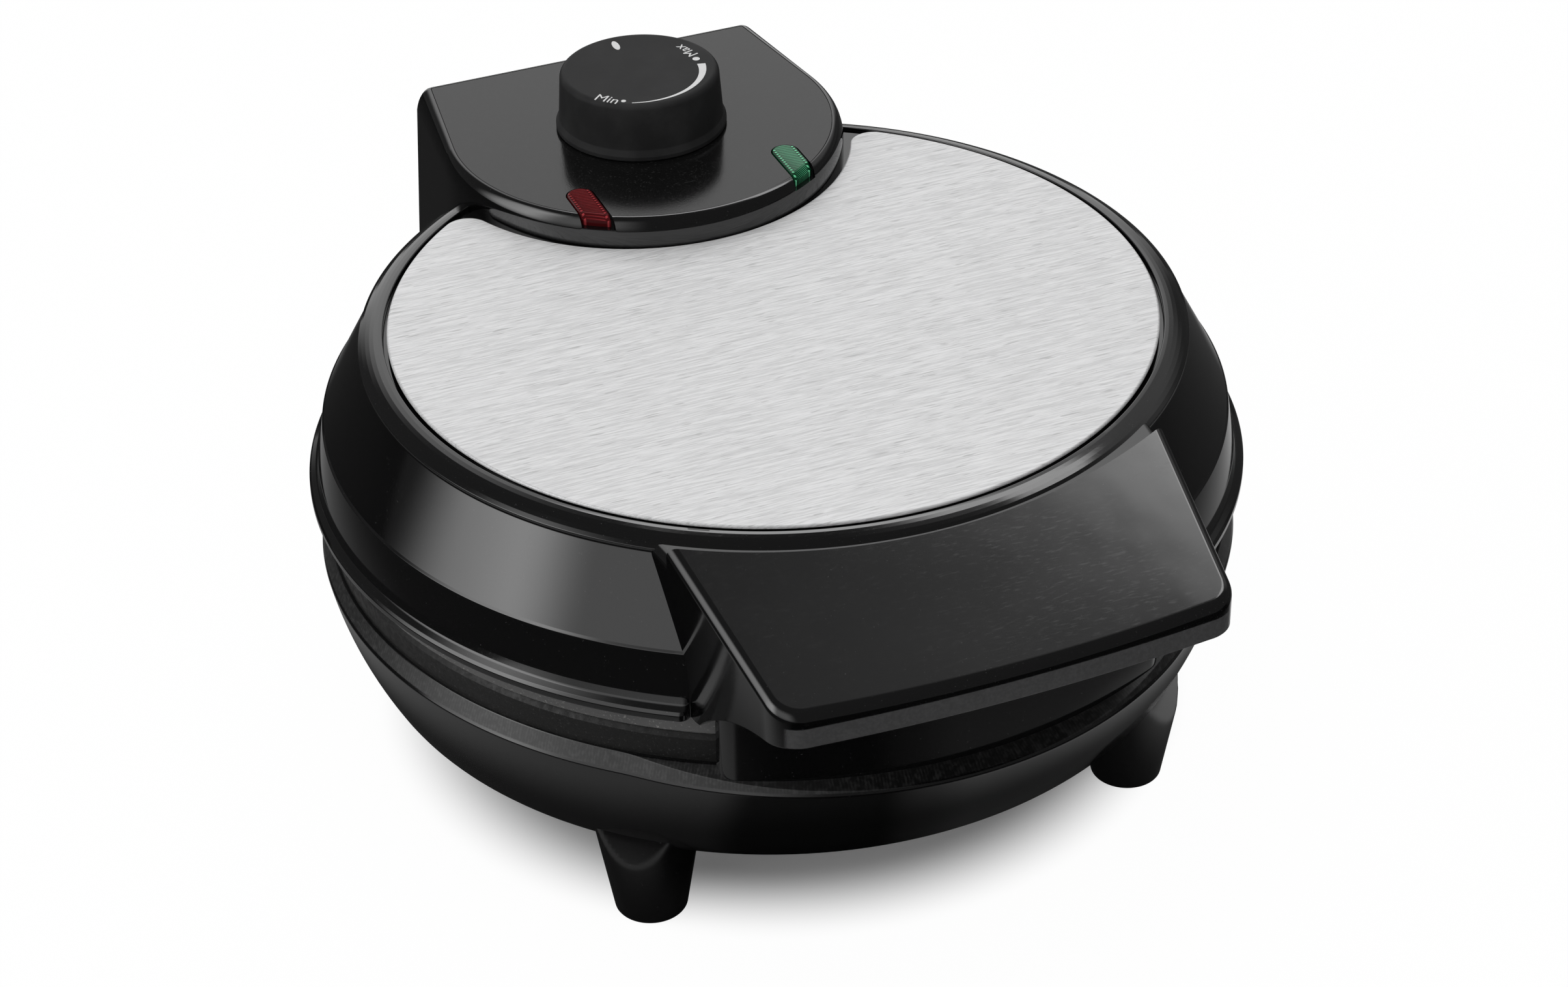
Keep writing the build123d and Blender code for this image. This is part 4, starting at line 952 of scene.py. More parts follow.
def linked(name: str, data: bpy.types.ID) -> bpy.types.Object:
    """A new object of a mesh, curve, lamp or camera, in the scene.

    Args:
        name: of the object.
        data: what it holds.

    Returns:
        The object.
    """
    obj = bpy.data.objects.new(name, data)
    bpy.context.scene.collection.objects.link(obj)
    return obj


@dataclass
class Workshop:
    """Turns patches into objects, dresses them and puts them on their bodies.

    Points closer than merge and edges shorter than thin, in metres, are taken out. Edges sharper than
    sharp_angle, in degrees, stay sharp, and face_weight is how far large faces lead the normals.
    """

    merge: float = 2e-6
    thin: float = 1e-7
    sharp_angle: float = 38.0
    face_weight: int = 60
    made: list[bpy.types.Object] = field(default_factory=list)

    def mesh(self, name: str, patches: Sequence[Patch]) -> bpy.types.Mesh:
        """Joins patches into one mesh with merged doubles and outward faces.

        Args:
            name: of the mesh.
            patches: its parts, each one closed.

        Returns:
            The mesh.
        """
        sizes = np.cumsum([0] + [len(p.points) for p in patches])
        points = np.vstack([p.points for p in patches]) * MM
        groups = [face + start for p, start in zip(patches, sizes) for face in p.faces]
        corners = np.concatenate([g.ravel() for g in groups]).astype(np.int32)
        counts = np.concatenate([np.full(len(g), g.shape[1]) for g in groups])
        starts = np.concatenate([[0], np.cumsum(counts)[:-1]]).astype(np.int32)
        mesh = bpy.data.meshes.new(name)
        mesh.vertices.add(len(points))
        mesh.vertices.foreach_set("co", points.astype(np.float32).ravel())
        mesh.loops.add(len(corners))
        mesh.loops.foreach_set("vertex_index", corners)
        mesh.polygons.add(len(starts))
        mesh.polygons.foreach_set("loop_start", starts)
        mesh.update(calc_edges=True)
        shape = bmesh.new()
        shape.from_mesh(mesh)
        bmesh.ops.remove_doubles(shape, verts=shape.verts, dist=self.merge)
        bmesh.ops.dissolve_degenerate(shape, edges=shape.edges, dist=self.thin)
        bmesh.ops.recalc_face_normals(shape, faces=shape.faces)
        shape.to_mesh(mesh)
        shape.free()
        return mesh

    def shade(self, obj: bpy.types.Object) -> None:
        """Smooths obj, keeps its sharp edges, and lets large faces lead the normals.

        Args:
            obj: the piece.
        """
        mesh = obj.data
        mesh.polygons.foreach_set("use_smooth", np.ones(len(mesh.polygons), bool))
        mesh.set_sharp_from_angle(angle=radians(self.sharp_angle))
        weighted = obj.modifiers.new("weighted_normals", "WEIGHTED_NORMAL")
        weighted.keep_sharp = True
        weighted.weight = self.face_weight

    def piece(
        self,
        name: str,
        patches: Union[Patch, Sequence[Patch]],
        finish: Finishes,
        body: Body,
        slot: str,
        replaces: Sequence[str] = (),
        cutters: Sequence[Patch] = (),
        extra: Sequence[Patch] = (),
    ) -> None:
        """Makes one piece of the object.

        Args:
            name: of the piece.
            patches: its closed surfaces.
            finish: what it wears.
            body: what it rides on.
            slot: the record's material slot, not used.
            replaces: CAD nodes that it stands for.
            cutters: closed surfaces that are cut out of it.
            extra: closed surfaces that join it after the cut.
        """
        parts = [patches] if isinstance(patches, Patch) else list(patches)
        obj = linked(name, self.mesh(name, parts))
        if cutters:
            self.cut(obj, cutters)
        if extra:
            self.join(obj, extra)
        self.shade(obj)
        obj.data.materials.clear()
        obj.data.materials.append(finish.material())
        if replaces:
            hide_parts(*replaces)
        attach(obj, body.value)
        self.made.append(obj)
        log.info("%s: %d faces on %s", name, len(obj.data.polygons), body.value)

    def cut(self, obj: bpy.types.Object, cutters: Sequence[Patch]) -> None:
        """Cuts closed surfaces out of obj and keeps the result as its mesh.

        Args:
            obj: the piece.
            cutters: what is cut out.
        """
        tool = linked("cutter", self.mesh("cutter", cutters))
        boolean = obj.modifiers.new("cut", "BOOLEAN")
        boolean.operation = "DIFFERENCE"
        boolean.solver = "EXACT"
        boolean.object = tool
        evaluated = obj.evaluated_get(bpy.context.evaluated_depsgraph_get())
        result = bpy.data.meshes.new_from_object(evaluated)
        obj.modifiers.clear()
        obj.data = result
        bpy.data.objects.remove(tool)

    def join(self, obj: bpy.types.Object, patches: Sequence[Patch]) -> None:
        """Adds closed surfaces to obj's mesh.

        Args:
            obj: the piece.
            patches: what is added.
        """
        shape = bmesh.new()
        shape.from_mesh(obj.data)
        shape.from_mesh(self.mesh("added", patches))
        shape.to_mesh(obj.data)
        shape.free()

    def dress(self, node: str, finish: Finishes) -> None:
        """Gives a CAD node that stays its finish.

        Args:
            node: name of the node.
            finish: what it wears.
        """
        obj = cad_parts[node]
        obj.data.materials.clear()
        obj.data.materials.append(finish.material())


def hinge_plate(root: Quad, x_low: float, width: float) -> Patch:
    """A plate in the YZ plane: the hull of the hinge's round knuckle and a rectangle, with rounded rims.

    In each of 96 directions the outline takes the knuckle's point or the rectangle's corner, whichever lies
    further that way.

    Args:
        root: low y, high y, low z and high z of the rectangle.
        x_low: where the plate starts.
        width: of the plate.

    Returns:
        The patch.
    """
    y_low, y_high, z_low, z_high = root
    turn = np.linspace(0, 2 * pi, 96, endpoint=False)
    ways = np.column_stack([np.cos(turn), np.sin(turn)])
    square = np.array([(y_low, z_low), (y_high, z_low), (y_high, z_high), (y_low, z_high)], float)
    inwards = np.sign(square.mean(0) - square)

    def outline(inset: float) -> Array:
        """The hull with its knuckle and root drawn in by inset.

        Args:
            inset: how far it is drawn in.

        Returns:
            (n, 2) points.
        """
        corners = square + inwards * inset
        knuckle = np.array(HINGE) + (KNUCKLE_RADIUS - inset) * ways
        from_corner = corners[np.argmax(ways @ corners.T, axis=1)]
        use_knuckle = (knuckle * ways).sum(1) >= (from_corner * ways).sum(1)
        return np.where(use_knuckle[:, None], knuckle, from_corner)

    return stacked(outline, edge_levels(x_low, x_low + width, PLATE_EDGE, PLATE_EDGE, 4), axis=0)


@dataclass
class BaseHousing:
    """The black dish: bowl with its front bulge, feet, lug behind the handle, ears of the hinge."""

    bottom_z: float = 22.0
    turn_z: float = 27.0
    shoulder_z: float = 52.5
    rim_z: float = 57.0
    bottom_radius: float = 98.0
    turn_radius: float = 103.6
    shoulder_radius: float = 112.2
    rim_radius: float = 110.0
    seat_width: float = 2.6
    side_arc: float = 90.0
    turn_arc: float = 10.0
    bulge_offset: float = 21.0
    bulge_reach: float = 118.0
    ledge_slope: float = 0.5
    ledge_least: float = 0.05
    shoulder_round: float = 0.9
    ledge_round: float = 0.5
    rim_round: float = 0.4
    seat_round: float = 0.3
    blend: float = 0.35
    foot_x: float = 62.2
    foot_y: float = 71.0
    foot_tip: float = 8.5
    foot_flare: float = 0.161
    foot_root: float = 36.0
    foot_lean: float = 0.28
    foot_proud: float = 0.25
    pad_radius: float = 6.6
    pad_proud: float = 0.6
    pad_depth: float = 1.6
    post_top_z: float = 44.6
    post_seat: float = 6.0
    vent_circle: float = 34.0
    vent_count: int = 12
    vent_length: float = 20.0
    vent_width: float = 3.0
    floor_cut: Span = (-2.0, 5.0)
    lug_radius: float = 113.6
    lug_half_width: float = 54.0
    lug_top_z: float = 76.0
    lug_step_z: float = 69.5
    lug_wall: float = 2.0
    lug_inner: float = 110.3
    lug_end: float = 3.0
    lug_draw: float = 1.7
    lug_fine: float = 0.06
    lug_coarse: float = 0.92
    ear_x: float = 26.0
    ear_width: float = 8.0
    ear_root: Quad = (102.0, 108.0, 38.0, 49.0)

    def reach(self, azimuth: Array, dish: float, bulge: float) -> Array:
        """Outer radius at one level: the dish's, or the bulge's where that is larger.

        The bulge's circle of radius b about a point d in front is at d cos a + sqrt(b^2 - d^2 sin^2 a).

        Args:
            azimuth: angles from the front.
            dish: the dish's radius.
            bulge: how far the bulge comes forward.

        Returns:
            Radius at each angle.
        """
        d = self.bulge_offset
        b = bulge - d
        front = d * np.cos(azimuth) + np.sqrt(b**2 - (d * np.sin(azimuth)) ** 2)
        return smooth_max(np.full_like(azimuth, dish), front, self.blend)

    def bowl(self) -> Patch:
        """Closed wall of the bowl, from the middle of its floor out, over the rim and back inside.

        The ledge falls outwards from the rim by its slope, to where it meets the draft line up from the
        shoulder.

        Returns:
            The patch.
        """
        turn = even_azimuths(360)
        ones = np.ones_like(turn)

        def corner(radius: Any, height: Any, rounding: float) -> Array:
            """One corner of all columns: radius, height and rounding."""
            return np.stack([radius * ones, height * ones, rounding * ones], -1)

        shoulder = self.reach(turn, self.shoulder_radius, self.bulge_reach)
        low = self.reach(turn, self.turn_radius, self.turn_radius)
        side = bowed(corner(low, self.turn_z, 0)[:, :2], corner(shoulder, self.shoulder_z, 0)[:, :2],
                     self.side_arc, 14)
        draw = (self.shoulder_radius - self.rim_radius) / (self.rim_z - self.shoulder_z)
        slope = self.ledge_slope
        rise = slope * (shoulder + draw * self.shoulder_z - self.rim_radius)
        ledge_z = np.minimum((self.rim_z - rise) / (1 - slope * draw), self.rim_z - self.ledge_least)
        ledge = shoulder - draw * (ledge_z - self.shoulder_z)
        inner = self.rim_radius - self.seat_width
        top = rounded(np.stack([
            corner(side[:, -2, 0], side[:, -2, 1], 0.0),
            corner(shoulder, self.shoulder_z, self.shoulder_round),
            corner(ledge, ledge_z, self.ledge_round),
            corner(self.rim_radius, self.rim_z, self.rim_round),
            corner(inner, self.rim_z, self.seat_round),
            corner(inner, self.shoulder_z + 1, self.seat_round),
            corner(self.shoulder_radius - WALL, self.shoulder_z - 1, 0.0),
        ], axis=1), 6)
        flat_end, side_start = (self.bottom_radius, self.bottom_z), (self.turn_radius, self.turn_z)
        bottom = np.vstack([[(0.0, self.bottom_z)], bowed(flat_end, side_start, self.turn_arc, 8)[:-1]])
        inside = side[:, -3::-1, :] - np.array([WALL, 0.0])
        floor_z = self.bottom_z + WALL
        floor = np.array([(self.bottom_radius - 1, floor_z), (0.0, floor_z)])
        bottom, floor = (np.broadcast_to(part, (len(turn), *part.shape)) for part in (bottom, floor))
        return turned(np.concatenate([bottom, side[:, :-2], top, inside, floor], axis=1), turn)

    def lug(self) -> Patch:
        """Upright tongue behind the handle, cut off square at the sides with rounded upright edges.

        A profile point at radius r runs over azimuths v asin(w / r), v from -1 to 1, so the ends lie in the
        planes x = +-w. Over lug_end from an end the outer face draws in by lug_draw, as a quarter ellipse.
        Columns lie close over the share lug_fine at each end, and evenly over lug_coarse between them.

        Returns:
            The patch.
        """
        low_z, back = self.shoulder_z + 1, self.lug_radius - self.lug_wall
        profile = rounded([
            (self.lug_inner, low_z, 0), (self.lug_radius, low_z, 0.1), (self.lug_radius, self.lug_top_z, 0.6),
            (back, self.lug_top_z, 0.5), (back, self.lug_step_z, 0.3), (self.lug_inner, self.lug_step_z, 0.2),
            (self.lug_inner, low_z, 0)], 5)[:-1]
        ends = 1 - np.cos(np.linspace(0, pi / 2, 9))
        close = self.lug_fine * ends
        middle = np.linspace(-self.lug_coarse, self.lug_coarse, 60)
        share = np.concatenate([-1 + close, middle, 1 - close[::-1]])
        gap = np.clip((1 - np.abs(share)) * self.lug_half_width / self.lug_end, 0, 1)[:, None]
        draw = self.lug_draw * (1 - np.sqrt(1 - (1 - gap) ** 2))
        outer = np.clip((profile[:, 0] - back) / self.lug_wall, 0, 1)
        radius = profile[:, 0] - draw * outer
        turn = share[:, None] * np.arcsin(self.lug_half_width / radius)
        height = np.broadcast_to(profile[:, 1], turn.shape)
        return lofted(np.stack([radius * np.sin(turn), -radius * np.cos(turn), height], -1))

    def foot(self) -> Patch:
        """One foot: a cone that widens upwards into the bowl, hollowed at its tip for the pad.

        Returns:
            The patch.
        """
        root = self.foot_tip + self.foot_flare * (self.foot_root - self.pad_proud)
        profile = rounded([
            (0.0, self.pad_depth, 0), (self.pad_radius, self.pad_depth, 0.05),
            (self.pad_radius, self.pad_proud, 0.2), (self.foot_tip, self.pad_proud, 0.9),
            (root, self.foot_root, 0.4), (0.0, self.foot_root, 0)], 6)
        side = profile[-8] + np.linspace(0.1, 0.9, 30)[:, None] * (profile[-7] - profile[-8])
        return turned(np.vstack([profile[:-7], side, profile[-7:]]), even_azimuths(72))

    def leaned(self, foot: Patch) -> Patch:
        """Draws a foot's points in towards the Z axis where they stand out past the bowl's lower edge.

        The limit of the radius falls by the lean per millimetre up to the edge, and goes on in a straight
        line above it, to the inside of the wall at the foot's root.

        Args:
            foot: at its place.

        Returns:
            The patch.
        """
        x, y, z = foot.points.T
        radius = np.hypot(x, y)
        edge = self.turn_radius + self.foot_proud
        below = edge + self.foot_lean * (self.turn_z - z)
        inwards = (edge - self.turn_radius + WALL) / (self.foot_root - self.turn_z)
        above = edge - (z - self.turn_z) * inwards
        share = np.minimum(1.0, np.where(z < self.turn_z, below, above) / radius)
        return Patch(np.column_stack([x * share, y * share, z]), foot.faces)

    def post(self) -> Patch:
        """One screw post inside the bowl, bored from below for the screw's head.

        Returns:
            The patch.
        """
        low, seat = self.bottom_z + 0.4, self.post_top_z - self.post_seat
        return screw_post([
            (HEAD_BORE, low, 0), (POST_RADIUS, low, 0.1), (POST_RADIUS, self.post_top_z, 0.3),
            (SCREW_BORE, self.post_top_z, 0.1), (SCREW_BORE, seat, 0.1), (HEAD_BORE, seat, 0.1),
            (HEAD_BORE, low, 0)])

    def cutters(self) -> list[Patch]:
        """Vents and screw bores through the floor.

        Returns:
            The patches.
        """
        through = [self.bottom_z + past for past in self.floor_cut]
        r = self.vent_width / 2
        half = self.vent_length / 2 - r
        slot = np.vstack([arc((half, 0), r, -pi / 2, pi / 2, 9), arc((-half, 0), r, pi / 2, 3 * pi / 2, 9)])
        slot = slot + np.array([self.vent_circle, 0.0])
        cuts = []
        for angle in np.linspace(0, 2 * pi, self.vent_count, endpoint=False):
            spin = np.array([[cos(angle), sin(angle)], [-sin(angle), cos(angle)]])
            cuts.append(slab(slot @ spin, *through))
        bore = slab(circle((0.0, 0.0), HEAD_BORE), *through)
        return cuts + [bore.moved(*spot) for spot in screw_spots()]

    def build(self, shop: Workshop) -> None:
        """Makes and dresses the base housing and what stands on it.

        Args:
            shop: makes the pieces.
        """
        feet = [self.leaned(self.foot().moved(*spot)) for spot in four_corners(self.foot_x, self.foot_y)]
        posts = [self.post().moved(*spot) for spot in screw_spots()]
        ear = hinge_plate(self.ear_root, self.ear_x, self.ear_width)
        shop.piece(
            "base_shell", self.bowl(), Finishes.LEDGE_BLACK, Body.BASE, "gloss_black", ["base_housing"],
            cutters=self.cutters(), extra=[self.lug(), *feet, *posts, ear, ear.mirrored()])


@dataclass
class LidShell:
    """The lid's dome: lip with its bead, wall, crease, cone, shoulder, ring and the deck under the panel."""

    lip_z: float = 70.0
    lip_radius: float = 112.8
    bead_radius: float = 113.57
    bead_height: float = 2.8
    wall_foot: float = 111.0
    foot_z: float = 74.4
    crease_radius: float = 108.8
    crease_z: float = 86.3
    crease_step: float = 0.5
    shoulder_radius: float = 99.0
    shoulder_z: float = 104.6
    crown_arc: float = 11.0
    inner_radius: float = 93.0
    rim_z: float = 108.2
    deck_z: float = 107.8
    groove_depth: float = 1.5
    groove_width: float = 2.0
    trim_half_width: float = 60.5
    bead_end: float = 1.9
    post_low_z: float = 83.4
    post_seat_z: float = 89.4
    arm_x: float = 34.5
    arm_width: float = 9.4
    arm_root: Quad = (112.5, 125.5, 73.0, 76.0)

    def profile(self, bead: bool) -> Array:
        """Half-section from the middle of the deck out over the ring, down to the lip and back inside.

        With the bead, a soft fillet runs from the wall down to it. Without, the wall goes straight down, and
        as many corners as there lie on it.

        Args:
            bead: whether it has the bead.

        Returns:
            (n, 2) points.
        """
        foot, top, low = self.foot_z, self.lip_z + self.bead_height, self.lip_z + 0.6
        plain = self.wall_foot
        if bead:
            lip = [(plain, foot + 1.2, 3.0), (plain + 0.75, foot - 0.7, 1.2),
                   (self.bead_radius - 0.5, top - 0.1, 0.5), (self.bead_radius, top - 0.8, 0.6),
                   (self.bead_radius, low, 0.4), (self.lip_radius, self.lip_z, 0.3)]
        else:
            heights = (foot + 0.3, foot - 0.1, top - 0.1, top - 0.8, low)
            radii = (plain, plain, plain + 0.001, plain + 0.001, plain + 0.001)
            lip = [(radius, z, 0.01) for radius, z in zip(radii, heights)] + [(plain, self.lip_z, 0.3)]
        floor_z = self.deck_z - self.groove_depth
        groove = self.inner_radius - self.groove_width
        ring_start = (self.inner_radius, self.rim_z)
        ring_end = (self.shoulder_radius + 0.1, self.shoulder_z + 1.0)
        crown = bowed(ring_end, ring_start, self.crown_arc, 7)[-2:0:-1]
        return rounded([
            (0.0, self.deck_z, 0),
            (groove, self.deck_z, 0.15),
            (groove, floor_z, 0.15),
            (self.inner_radius, floor_z, 0.15),
            (*ring_start, 0.3),
            *[(x, y, 1.5) for x, y in crown],
            (*ring_end, 0.25),
            (self.shoulder_radius - 0.1, self.shoulder_z + 0.2, 1.2),
            (self.crease_radius, self.crease_z, 0.35),
            (self.crease_radius + self.crease_step, self.crease_z - self.crease_step, 0.35),
            *lip,
            (plain - WALL, self.lip_z, 0.3),
            (plain - WALL, foot, 0.5),
            (self.crease_radius - WALL, self.crease_z, 0.5),
            (self.shoulder_radius - WALL, self.shoulder_z - 1.3, 0.5),
            (self.inner_radius - WALL, self.deck_z - WALL, 0.5),
            (0.0, self.deck_z - WALL, 0),
        ], 6)

    def dome(self) -> Patch:
        """The profile carried round; the bead fades to the plain wall behind the handle's neck.

        The bead is whole where |x| is over the trim, and its end is a quarter ellipse along the rim.

        Returns:
            The patch.
        """
        end = asin(self.trim_half_width / self.bead_radius)
        turn = even_azimuths(384, (-end, end), 0.026, 16)
        past = (np.abs(turn) - end) * self.bead_radius / self.bead_end
        share = np.sqrt(np.clip(1 - (1 - np.clip(past, 0, 1)) ** 2, 0, 1))
        plain, full = self.profile(False), self.profile(True)
        shape = plain + share[:, None, None] * (full - plain)
        return turned(shape, turn)

    def post(self) -> Patch:
        """One screw post between the deck and the upper plate's boss.

        Returns:
            The patch.
        """
        low, seat, top = self.post_low_z, self.post_seat_z, self.deck_z - WALL + 0.5
        return screw_post([
            (SCREW_BORE, low, 0), (POST_RADIUS, low, 0.3), (POST_RADIUS, top, 0.1), (HEAD_BORE, top, 0.1),
            (HEAD_BORE, seat, 0.1), (SCREW_BORE, seat, 0.1), (SCREW_BORE, low, 0)])

    def build(self, shop: Workshop) -> None:
        """Makes and dresses the dome with its posts and arms.

        Args:
            shop: makes the pieces.
        """
        posts = [self.post().moved(*spot) for spot in screw_spots()]
        arm = hinge_plate(self.arm_root, self.arm_x, self.arm_width)
        shop.piece(
            "lid_dome", self.dome(), Finishes.GLOSS_BLACK, Body.LID, "gloss_black", ["lid_housing"],
            extra=[*posts, arm, arm.mirrored()])


@dataclass
class ControlTower:
    """The D-shaped tower at the back with its matt inlay, index mark, lens channels and rear recess."""

    radius: float = 51.9
    back_y: float = 131.7
    half_back: float = 46.8
    corner: float = 3.4
    bottom_z: float = 73.0
    top_z: float = 115.7
    edge_width: float = 2.8
    edge_height: float = 5.6
    inlay: float = 1.6
    inlay_gap: float = 0.1
    lens_gap: float = 0.32
    channel_front_y: float = 30.0
    channel_z: float = 113.0
    cover_half_width: float = 39.0
    cover_low: float = 79.0
    cover_high: float = 109.0
    cover_depth: float = 2.0
    gland_z: float = 90.0
    gland_radius: float = 5.4
    gland_reach: Span = (120.0, 135.0)
    mark_y: float = 55.0
    mark_size: float = 1.95
    rim_flare: float = 0.16
    side_flare: float = 0.061
    flare_start: float = 90.0
    flare_end: float = 118.0

    def outline(self, inset: float) -> Array:
        """D-shaped plan: front arc, sides that touch it and run to the back, rounded back corners.

        Args:
            inset: how far it is drawn in.

        Returns:
            (n, 2) points.
        """
        radius = self.radius - inset
        back = self.back_y - inset
        half = self.half_back - inset
        rise = back - KNOB_Y
        swing = atan2(rise, half) - np.arccos(radius / hypot(rise, half))
        x, y = radius * cos(swing), KNOB_Y + radius * sin(swing)
        front = arc((0, KNOB_Y), radius, pi - swing, 2 * pi + swing, 200)
        corner = max(self.corner - inset, 0.4)
        corners = rounded([(x, y, 0), (half, back, corner), (-half, back, corner), (-x, y, 0)], 9)[1:-1]
        return np.vstack([front, corners])

    def channel(self, side: Side, low: float) -> Patch:
        """Cutter of one lens place: straight sides open to the front and a half-round back end.

        Args:
            side: which lens.
            low: height of its floor.

        Returns:
            The patch.
        """
        half = LENS_WIDTH / 2 + self.lens_gap
        x, y = side.value * LENS_X, LENS_BACK_Y + self.lens_gap - half
        front = [(x - half, self.channel_front_y), (x + half, self.channel_front_y)]
        return slab(np.vstack([arc((x, y), half, 0, pi, 17), front]), low, self.top_z + 5)

    def block(self) -> Patch:
        """The tower's skin: rounded foot, upright wall, elliptic edge, and the step down to the bed.

        Returns:
            The patch.
        """
        bed = self.top_z - self.inlay
        lip = self.edge_width + 0.02
        return self.flared(stacked(self.outline, [
            (0.8, self.bottom_z), (0.25, self.bottom_z + 0.25), (0.0, self.bottom_z + 0.8),
            *top_levels(self.top_z, self.edge_width, self.edge_height, 9),
            (lip, self.top_z), (lip + 0.06, self.top_z - 0.06), (lip + 0.06, bed)]))

    def flared(self, block: Patch) -> Patch:
        """Leans the sides out towards the foot, more and more from the knob's middle to the back.

        The shift at depth d under the top is the rim's flare times d down to the rim's foot and the side's
        flare times the rest below it, times 3 s^2 - 2 s^3, with s from 0 to 1 between the two y limits, and
        times |x| over the half width at the back, at most 1.

        Args:
            block: with upright sides.

        Returns:
            The patch.
        """
        x, y, z = block.points.T
        depth = self.top_z - z
        shift = np.minimum(depth, self.edge_height) * self.rim_flare
        shift = shift + np.maximum(depth - self.edge_height, 0.0) * self.side_flare
        share = np.clip((y - self.flare_start) / (self.flare_end - self.flare_start), 0.0, 1.0)
        shift = shift * share**2 * (3 - 2 * share)
        moved = x + np.sign(x) * np.minimum(np.abs(x) / self.half_back, 1.0) * shift
        return Patch(np.column_stack([moved, y, z]), block.faces)

    def inlay_plate(self) -> Patch:
        """The matt inlay with its slightly broken edge.

        Returns:
            The patch.
        """
        start, top = self.edge_width + self.inlay_gap + 0.02, self.top_z
        return stacked(self.outline, [
            (start, top - self.inlay), (start, top - 0.22), (start + 0.07, top - 0.07), (start + 0.22, top)])

    def mark(self) -> Patch:
        """The index mark: a low triangle in front of the knob, with sloped flanks.

        Returns:
            The patch.
        """

        def triangle(inset: float) -> Array:
            """Corners of the mark drawn in by inset.

            Args:
                inset: how far it is drawn in.

            Returns:
                (n, 2) points.
            """
            turn = np.array([pi / 2, 7 * pi / 6, 11 * pi / 6])
            size = self.mark_size - 2 * inset
            return np.column_stack([size * np.cos(turn), self.mark_y + size * np.sin(turn)])

        top = self.top_z
        return stacked(triangle, [(0.0, top - 0.2), (0.0, top + 0.05), (0.2, top + 0.28)])

    def openings(self) -> list[Patch]:
        """Cutters of the rear cover's recess and of the hole for the gland.

        Returns:
            The patches.
        """
        low_y, high_y = self.back_y - self.cover_depth, self.back_y + 2
        half = self.cover_half_width
        plan = np.array([[-half, low_y], [half, low_y], [half, high_y], [-half, high_y]])
        hole = slab(circle((0.0, self.gland_z), self.gland_radius), *self.gland_reach, axis=1)
        return [slab(plan, self.cover_low, self.cover_high), hole]

    def build(self, shop: Workshop) -> None:
        """Makes and dresses the tower and its inlay.

        Args:
            shop: makes the pieces.
        """
        shop.piece(
            "tower_shell", self.block(), Finishes.GLOSS_BLACK, Body.LID, "gloss_black",
            cutters=[self.channel(side, self.channel_z) for side in Side] + self.openings())
        shop.piece(
            "tower_inlay", self.inlay_plate(), Finishes.MATTE_BLACK, Body.LID, "matte_black",
            ["control_panel"], cutters=[self.channel(side, self.channel_z - 1) for side in Side],
            extra=[self.mark()])


@dataclass
class Lens:
    """One indicator lens: straight sides, half-round back, soft top edge and a sloping front."""

    side: Side
    name: str
    finish: Finishes
    reach: float = 50.0
    bottom_z: float = 110.1
    top_z: float = 116.0
    slope_run: float = 1.5
    bottom_edge: float = 0.12
    edge: float = 0.45
    corner: float = 0.5

    def outline(self, inset: float, reach: float) -> Array:
        """Plan of the lens drawn in by inset, its front on the circle of radius reach about the knob.

        The front's points lie closer towards the sides, at half the width times 1 - (1 - |s|)^1.5 for s from
        -1 to 1, and its two corners are drawn back.

        Args:
            inset: how far it is drawn in.
            reach: radius of the front's circle.

        Returns:
            (n, 2) points.
        """
        half = LENS_WIDTH / 2 - inset
        middle_x, middle_y = self.side.value * LENS_X, LENS_BACK_Y - LENS_WIDTH / 2
        share = np.linspace(-1.0, 1.0, 13)
        x = middle_x + half * np.sign(share) * (1 - (1 - np.abs(share)) ** 1.5)
        corner = self.corner * (np.abs(share) > 0.999)
        y = KNOB_Y - np.sqrt((reach - inset - corner) ** 2 - x**2)
        return np.vstack([arc((middle_x, middle_y), half, 0, pi, 25), np.column_stack([x, y])])

    def build(self, shop: Workshop) -> None:
        """Makes and dresses the lens; over slope_run under the top its front goes back as it goes up.

        Args:
            shop: makes the pieces.
        """
        rings = []
        bend = self.top_z - self.slope_run
        for inset, z in edge_levels(self.bottom_z, self.top_z, self.bottom_edge, self.edge):
            past = max(z - bend, 0.0)
            rings.append(ring_at(self.outline(inset, self.reach - past), z))
            if past == 0.0 and inset == 0.0:
                rings.append(ring_at(self.outline(0.0, self.reach), bend))
        body = lofted(np.stack(rings))
        shop.piece(f"{self.name}_body", body, self.finish, Body.LID, self.name, [self.name])


